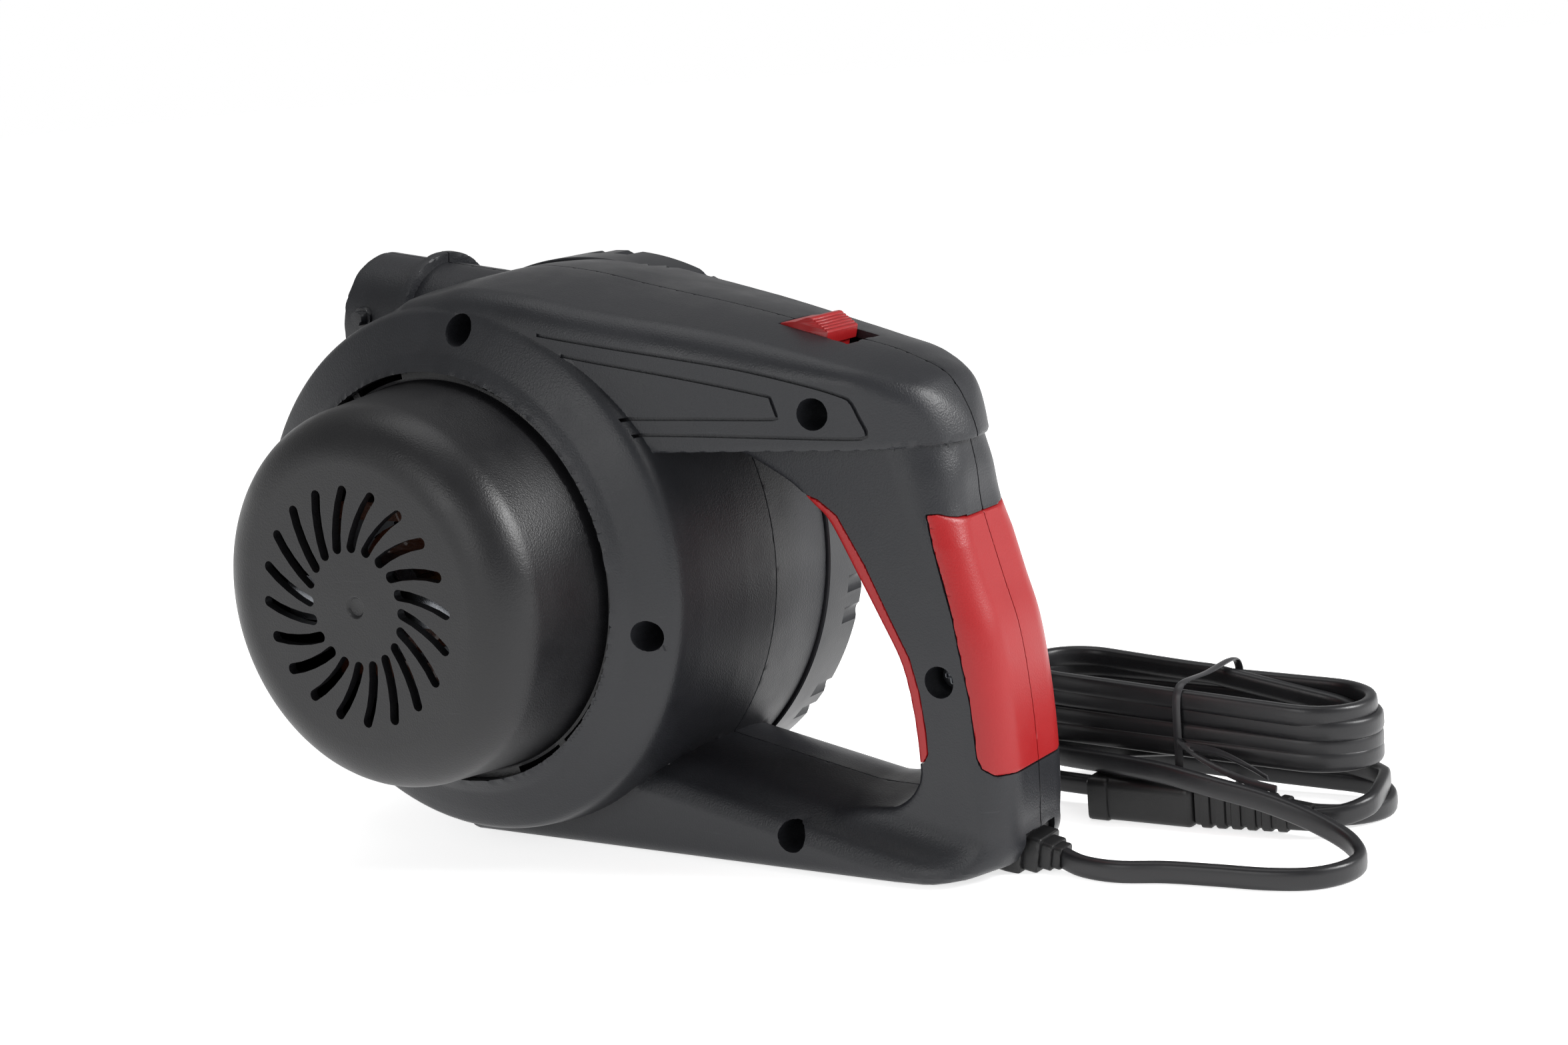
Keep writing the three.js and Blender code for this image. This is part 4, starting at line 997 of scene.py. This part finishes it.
# %% Screws
def screw_at(name, x, z):
    head = lathe(name, [(0, 12), (1.2, 11.4), (1.6, 10), (1.6, -9.3), (3.5, -9.3), (3.5, -10.6), (3.1, -11.6),
                        (2.2, -12.1), (0, -12.2)], 40)
    for wide, tall in ((1.9, 0.42), (0.42, 1.9)):
        arm = [(-wide, -tall), (wide, -tall), (wide, tall), (-wide, tall)]
        cut(head, prism("recess", arm, -13, -10.9), solver="EXACT")
    bevel(head, 0.12, 2, 40)
    head.data.transform(Matrix.Translation((x * MM, 0, z * MM)))
    return head


SCREW_NODES = ["screw_drum_top", "screw_drum_rear", "screw_drum_front", "screw_arm", "screw_handle", "screw_base"]
screws = []
for node_name, (x, z) in zip(SCREW_NODES, SCREWS):
    piece = screw_at(node_name + "_head", x, z)
    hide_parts(node_name)
    screws.append(piece)
print(len(screws), "screws")

# %% [markdown]
# ## Cord pieces
#
# The grommet at the exit and the moulded plug with its ribbed sleeve are soft mouldings. They come from fields
# again, because all their edges are rounded.

# %% Cord pieces
def relief_field(x, y, z):
    along, above = tilted(x, z, EXIT_AT, EXIT_TILT)
    made = None
    for middle, size in ((-3, (7, 7.4, 5.9)), (5.5, (2.5, 5.7, 4.7)), (9, (2, 4.3, 3.6)), (11.6, (1.6, 3.4, 3))):
        part = round_max(round_max(np.abs(y) - size[1], np.abs(above) - size[2], 1.4),
                         np.abs(along - middle) - size[0], 0.6)
        made = part if made is None else np.minimum(made, part)
    return np.maximum(made, FLOOR + 0.25 - z)


PLUG_Y = 44.9
PLUG_TOP = -66.4


def plug_field(x, y, z):
    side = np.abs(y - PLUG_Y)
    body = round_max(side - (5.1 - 0.02 * (x - 160)), np.abs(z - (FLOOR + PLUG_TOP) / 2) - 5.95, 2.6)
    body = round_max(body, np.abs(x - 162.4) - 13.4, 2.2)
    collar = round_max(side - 5.9, np.abs(z - (FLOOR + PLUG_TOP) / 2) - 6, 2)
    collar = round_max(collar, np.abs(x - 148.4) - 3, 0.7)
    return np.minimum(body, collar)


def sleeve_field(x, y, z):
    t = np.clip((x - 176) / 32, 0, 1)
    wide, tall = 3.9 - 1.5 * t, 5.4 - 1.9 * t
    side, rise = np.abs(y - 45), np.abs(z - (FLOOR + 6.4 - 0.8 * t))
    core = round_max(round_max(side - wide, rise - tall, 1.8), np.abs(x - 192) - 16, 0.6)
    rib = round_max(side - wide - 0.75, rise - tall - 0.5, 1.8)
    rib = round_max(rib, np.abs((x - 178) % 4.2 - 1.3) - 1.3, 0.5)
    rib = np.maximum(rib, np.maximum(178 - x, x - 203))
    return np.maximum(np.minimum(core, rib), FLOOR + 0.1 - z)


relief = mesh_of("grommet", relief_field, (134, -9, -79.5), (161, 9, -63), 0.5)
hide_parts("strain_relief")
plug = mesh_of("plug_moulding", plug_field, (143, 37, -80), (178, 53, -64), 0.6)
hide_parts("plug_body")
sleeve = mesh_of("plug_boot", sleeve_field, (174, 38, -80), (210, 52, -63), 0.5)
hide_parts("plug_sleeve")
print("grommet, plug and sleeve have", [len(o.data.polygons) for o in (relief, plug, sleeve)], "faces")

# %% [markdown]
# ## Tie
#
# A coated wire tie holds the hank: a narrow strip, thicker in the middle where the wire runs, that is bent round
# the hank and twisted off beside the plug. Rings of eight points are lofted along its path, because a strip that
# turns over needs its width steered one by one.

# %% Tie
TIE_X = 169
STRIP_HALF_W = 1.25
STRIP_HALF_T = 0.45


def tie_piece():
    """A narrow strip round the hank with its two ends laid beside the plug."""
    y0, y1 = HANK_Y - HANK_R - 2.1, HANK_Y + HANK_R + 2.1
    top, low = -42.3, FLOOR + 0.4
    loop = [(y0, -60), (y0, -48), (y0 + 1.2, -44), (y0 + 5, top), (HANK_Y, top - 0.5), (y1 - 5, top),
            (y1 - 1, -44), (y1, -50), (y1, -70), (y1 - 1.4, low + 1.2), (y1 - 5, low), (HANK_Y, low),
            (y0 + 5, low), (y0 + 1.2, low + 1.4), (y0, -72), (y0, -60)]
    line = curve_through(loop, 1.2)
    points = []
    for k, (y, z) in enumerate(line):
        before, after = line[max(k - 1, 0)], line[min(k + 1, len(line) - 1)]
        out = np.array([after[1] - before[1], before[0] - after[0]])
        out = -out / np.linalg.norm(out)
        lean = 0.08 * (y - HANK_Y)
        ring = [(STRIP_HALF_W * c, STRIP_HALF_T * t) for c, t in (polar(1, 22.5 + 45 * i) for i in range(8))]
        points.append([(TIE_X + lean + c, y + out[0] * t, z + out[1] * t) for c, t in ring])
    band = loft("tie_band", points)
    for number, tail in enumerate(([(168, 50.2, -57), (174, 49, -60.6), (183, 46, -63.2), (192, 42.6, -64.4),
                                    (200, 40.4, -64.8)],
                                   [(168, 50.2, -58.6), (173, 49.6, -58.4), (181, 48, -58.8), (189, 47.2, -61.4),
                                    (195, 46.6, -64)])):
        run = curve_through(tail, 1)
        rings = []
        for k, p in enumerate(run):
            turn = math.radians(20 + 60 * number + 50 * k / len(run))
            wide = np.array([0, math.cos(turn), math.sin(turn)]) * 1.1
            thin = np.array([0, -math.sin(turn), math.cos(turn)]) * 0.5
            rings.append([p + wide * c + thin * t for c, t in (polar(1, 22.5 + 45 * i) for i in range(8))])
        cut(band, loft("tie_end", rings), "UNION")
    return band


tie = tie_piece()
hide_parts("twist_tie")
print("tie has", len(tie.data.polygons), "faces")

# %% [markdown]
# ## Materials
#
# The housing is spark-eroded ABS: a fine even grain left by the mould, with faint uneven gloss. The red panels are
# a satin soft-touch plastic. Everything else is small: PVC for cord and plug, steel, copper, brass and carbon
# inside. All patterns are in object coordinates, which are metres here, so a grain of 0.5 mm has a scale of 2000.
# The real grain is finer than that, and is drawn coarser so that it shows.

# %% Surface helper
GLOSS_SPREAD = 0.05
SCUFF_GREY = "#8a8c90"


def linear(code):
    """A colour from its sRGB code, as linear values."""
    parts = [int(code[k:k + 2], 16) / 255 for k in (1, 3, 5)]
    return (*(c / 12.92 if c <= 0.04045 else ((c + 0.055) / 1.055) ** 2.4 for c in parts), 1)


def surface(name, dark, light, rough, grain, depth, patch=12, metal=0.0, coat=0.0, stretch=(1, 1, 1),
            scuffs=0.0):
    """A moulded, drawn or rolled surface: two close tones in soft patches, uneven gloss and a raised grain."""
    made = bpy.data.materials.new(name)
    made.use_nodes = True
    tree = made.node_tree
    tree.nodes.clear()
    where = node(tree, "ShaderNodeTexCoord")
    scaled = node(tree, "ShaderNodeMapping", {"Vector": where.outputs["Object"], "Scale": stretch})
    patches = node(tree, "ShaderNodeTexNoise", {"Vector": scaled.outputs[0], "Scale": 1000 / patch, "Detail": 5.0})
    fine = node(tree, "ShaderNodeTexNoise", {"Vector": scaled.outputs[0], "Scale": 1000 / grain, "Detail": 3.0})
    tone = node(tree, "ShaderNodeMix", {"Factor": patches.outputs[0]}, data_type="RGBA")
    tone.inputs[6].default_value = linear(dark)
    tone.inputs[7].default_value = linear(light)
    colour = tone.outputs[2]
    if scuffs > 0:
        long_way = node(tree, "ShaderNodeMapping", {"Vector": where.outputs["Object"], "Scale": (40, 300, 1300)})
        marks = node(tree, "ShaderNodeTexNoise", {"Vector": long_way.outputs[0], "Scale": 1.0, "Detail": 2.0})
        few = node(tree, "ShaderNodeMapRange", {"Value": marks.outputs[0], "From Min": 0.72, "From Max": 0.8,
                                                "To Min": 0.0, "To Max": scuffs})
        worn = node(tree, "ShaderNodeMix", {"Factor": few.outputs[0]}, data_type="RGBA")
        tree.links.new(colour, worn.inputs[6])
        worn.inputs[7].default_value = linear(SCUFF_GREY)
        colour = worn.outputs[2]
    gloss = node(tree, "ShaderNodeMapRange", {"Value": patches.outputs[0], "From Min": 0.3, "From Max": 0.7,
                                              "To Min": rough - GLOSS_SPREAD, "To Max": rough + GLOSS_SPREAD})
    bump = node(tree, "ShaderNodeBump", {"Height": fine.outputs[0], "Distance": depth * MM, "Strength": 1.0})
    shader = node(tree, "ShaderNodeBsdfPrincipled", {
        "Base Color": colour, "Roughness": gloss.outputs[0], "Normal": bump.outputs[0], "Metallic": metal,
        "Specular IOR Level": 0.5 if metal else 0.4, "Coat Weight": coat})
    node(tree, "ShaderNodeOutputMaterial", {"Surface": shader.outputs[0]})
    return made


print("a patch of 12 mm has a scale of", round(1000 / 12))

# %% [markdown]
# ## The finishes
#
# Each finish gives its dark and light tone, roughness, grain in millimetres and that grain's height. The black
# mouldings differ a little: the body is eroded and soft in its sheen, the cap is finer, and darker as painted
# shade on its face, and the intake cover is the smoothest. The red has a satin gloss. Ground and plated steel keep
# the metals' own shine, stacked laminations show fine lines along the shaft, and varnished copper has a clear coat
# and a dark brown that is partly the varnish and partly painted shade for the unlit inside. Cord and plug are soft
# PVC, duller than the body.

# %% Finishes
BLACK_ABS = surface("black_abs_spark_eroded", "#1b1c1f", "#212226", 0.4, 0.5, 0.09, scuffs=0.04)
# The cap's two tones are a darker copy of the body's black: painted shade on the cap face.
CAP_ABS_PAINTED_SHADE = surface("black_abs_fine_texture_painted_shade", "#131315", "#18181a", 0.38, 0.5, 0.08, scuffs=0.03)
COVER_ABS = surface("black_abs_satin", "#1b1c1f", "#222327", 0.36, 0.5, 0.04, scuffs=0.05)
RED_ABS = surface("red_abs_satin", "#8f1417", "#97181b", 0.38, 0.5, 0.05)
FAN_PLASTIC = surface("glass_filled_nylon", "#1e1f21", "#2a2b2d", 0.5, 0.8, 0.05)
STEEL = surface("ground_steel", "#8d9095", "#a3a6ab", 0.3, 0.3, 0.02, metal=1.0, stretch=(1, 12, 1))
LAMINATIONS = surface("stacked_steel_laminations", "#56585c", "#74767a", 0.42, 0.9, 0.2, metal=1.0,
                      stretch=(0.05, 1.4, 0.05))
# The winding's dark brown is partly the varnish and partly painted shade, so the motor's inside reads unlit
# through the slots.
WINDING_PAINTED_SHADE = surface("varnished_copper_wire_painted_shade", "#2e170c", "#4a2412", 0.4, 0.7, 0.3, coat=0.4,
                  stretch=(0.3, 1, 1))
CARBON = surface("pressed_carbon", "#1a1a1b", "#262627", 0.7, 0.3, 0.03)
BRASS = surface("drawn_brass", "#b0924a", "#c9b06a", 0.3, 0.4, 0.02, metal=1.0)
ZINC = surface("zinc_plated_steel", "#7d8084", "#96999d", 0.36, 0.4, 0.02, metal=1.0)
CORD_PVC = surface("extruded_pvc_sheath", "#19191b", "#202022", 0.36, 0.9, 0.03)
PLUG_PVC = surface("moulded_pvc", "#0f0f10", "#161617", 0.42, 0.4, 0.03)
TIE_PLASTIC = surface("coated_tie", "#2c2c2e", "#3a3a3c", 0.34, 0.6, 0.02)
print(len(bpy.data.materials), "materials with those the frame brought")

# %% [markdown]
# ## Finishes on pieces
#
# Each new piece gets its finish, its body and its slot. The two halves take the place of the plain ones. The
# pieces inside, which only show through slots and grille, keep their CAD shape and get a better finish.

# %% Finishes on pieces
def finish_piece(piece, material, body):
    piece.data.materials.clear()
    piece.data.materials.append(material)
    for face in piece.data.polygons:
        face.material_index = 0
    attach(piece, body)


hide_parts("near_housing")
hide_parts("far_housing")
for half in (near, far):
    finish_piece(half, BLACK_ABS, "housing")
# The cap takes the black that is darkened by painted shade.
finish_piece(cap, CAP_ABS_PAINTED_SHADE, "housing")
finish_piece(cover, COVER_ABS, "housing")
finish_piece(grille, COVER_ABS, "housing")
for panel in panels:
    finish_piece(panel, RED_ABS, "housing")
finish_piece(knob, RED_ABS, "switch")
for piece in screws:
    finish_piece(piece, ZINC, "housing")
for piece in (relief, plug, sleeve):
    finish_piece(piece, PLUG_PVC, "housing")
finish_piece(tie, TIE_PLASTIC, "housing")
finish_piece(cord, CORD_PVC, "housing")

KEPT = {
    STEEL: ["motor_shaft", "impeller_nut", "bearing_near", "bearing_far", "bearing_bridge_near",
            "bearing_bridge_far"],
    LAMINATIONS: ["armature_core", "stator_core"],
    # The windings take the copper that is darkened by painted shade.
    WINDING_PAINTED_SHADE: ["armature_winding_near", "armature_winding_far", "field_coil_upper", "field_coil_lower",
              "commutator"],
    FAN_PLASTIC: ["impeller", "fan_plate", "switch_body", "cord_clamp"],
    BRASS: ["brush_holder_rear", "brush_holder_front"],
    CARBON: ["carbon_brush_rear", "carbon_brush_front"],
}
for material, names in KEPT.items():
    for name in names:
        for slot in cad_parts[name].material_slots:
            slot.material = material
print("materials are on", sum(len(v) for v in KEPT.values()), "carried-over nodes")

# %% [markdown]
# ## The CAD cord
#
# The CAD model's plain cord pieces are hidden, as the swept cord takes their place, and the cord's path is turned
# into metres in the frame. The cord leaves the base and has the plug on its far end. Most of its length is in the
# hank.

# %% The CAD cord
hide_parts("cord_tube", "cord_tail", "cord_hank")
[place(*p) for p in path]

# %% [markdown]
# ## Floor and light
#
# A plain pale floor and soft light from three panels: one on the right and a little behind for the sheen on the
# motor cap and the nose of the arm, a weaker one in front and one above. Large panels make broad highlights,
# and a dimmer sky overhead keeps the black plastic black.

# %% Floor and light
def make_floor():
    mesh = bpy.data.meshes.new("floor")
    reach = 8
    mesh.from_pydata([(-reach, -reach, 0), (reach, -reach, 0), (reach, reach, 0), (-reach, reach, 0)], [],
                     [(0, 1, 2, 3)])
    floor = bpy.data.objects.new("floor", mesh)
    bpy.context.scene.collection.objects.link(floor)
    pale = bpy.data.materials.new("pale_floor")
    pale.use_nodes = True
    shader = pale.node_tree.nodes["Principled BSDF"]
    shader.inputs["Base Color"].default_value = linear("#f4f4f4")
    shader.inputs["Roughness"].default_value = 0.9
    shader.inputs["Emission Color"].default_value = (1, 1, 1, 1)
    shader.inputs["Emission Strength"].default_value = 0.72
    mesh.materials.append(pale)


def soft_light(name, at, aim, size, power):
    lamp = bpy.data.lights.new(name, "AREA")
    lamp.shape = "RECTANGLE"
    lamp.size, lamp.size_y = size
    lamp.energy = power
    holder = bpy.data.objects.new(name, lamp)
    at, aim = Vector(at), Vector(aim)
    holder.matrix_world = Matrix.Translation(at) @ (at - aim).to_track_quat("Z", "Y").to_matrix().to_4x4()
    bpy.context.scene.collection.objects.link(holder)


make_floor()
soft_light("right", (1.1, 0.42, 0.8), (0.08, 0, 0.1), (0.35, 0.6), 19)
soft_light("front", (0.0, -1.3, 0.6), (0.05, 0, 0.06), (0.8, 0.5), 4.5)
soft_light("above", (-0.2, 0.1, 1.4), (0, 0, 0.08), (1.0, 0.8), 4)
world = bpy.data.worlds.new("surroundings")
world.use_nodes = True
sky = world.node_tree
height = node(sky, "ShaderNodeSeparateXYZ", {"Vector": node(sky, "ShaderNodeTexCoord").outputs["Generated"]})
level = node(sky, "ShaderNodeMapRange", {"Value": height.outputs["Z"], "From Min": 0.08, "From Max": 0.25,
                                         "To Min": 1.0, "To Max": 0.3})
sky.links.new(level.outputs[0], sky.nodes["Background"].inputs["Strength"])
sky.nodes["Background"].inputs["Color"].default_value = (1, 1, 1, 1)
bpy.context.scene.world = world
bpy.context.scene.view_settings.view_transform = "Standard"

print("three soft lights and a pale floor")

# %% [markdown]
# ## Finish
#
# The last cell only prints that the scene is built.

# %% Finish
print("scene built")
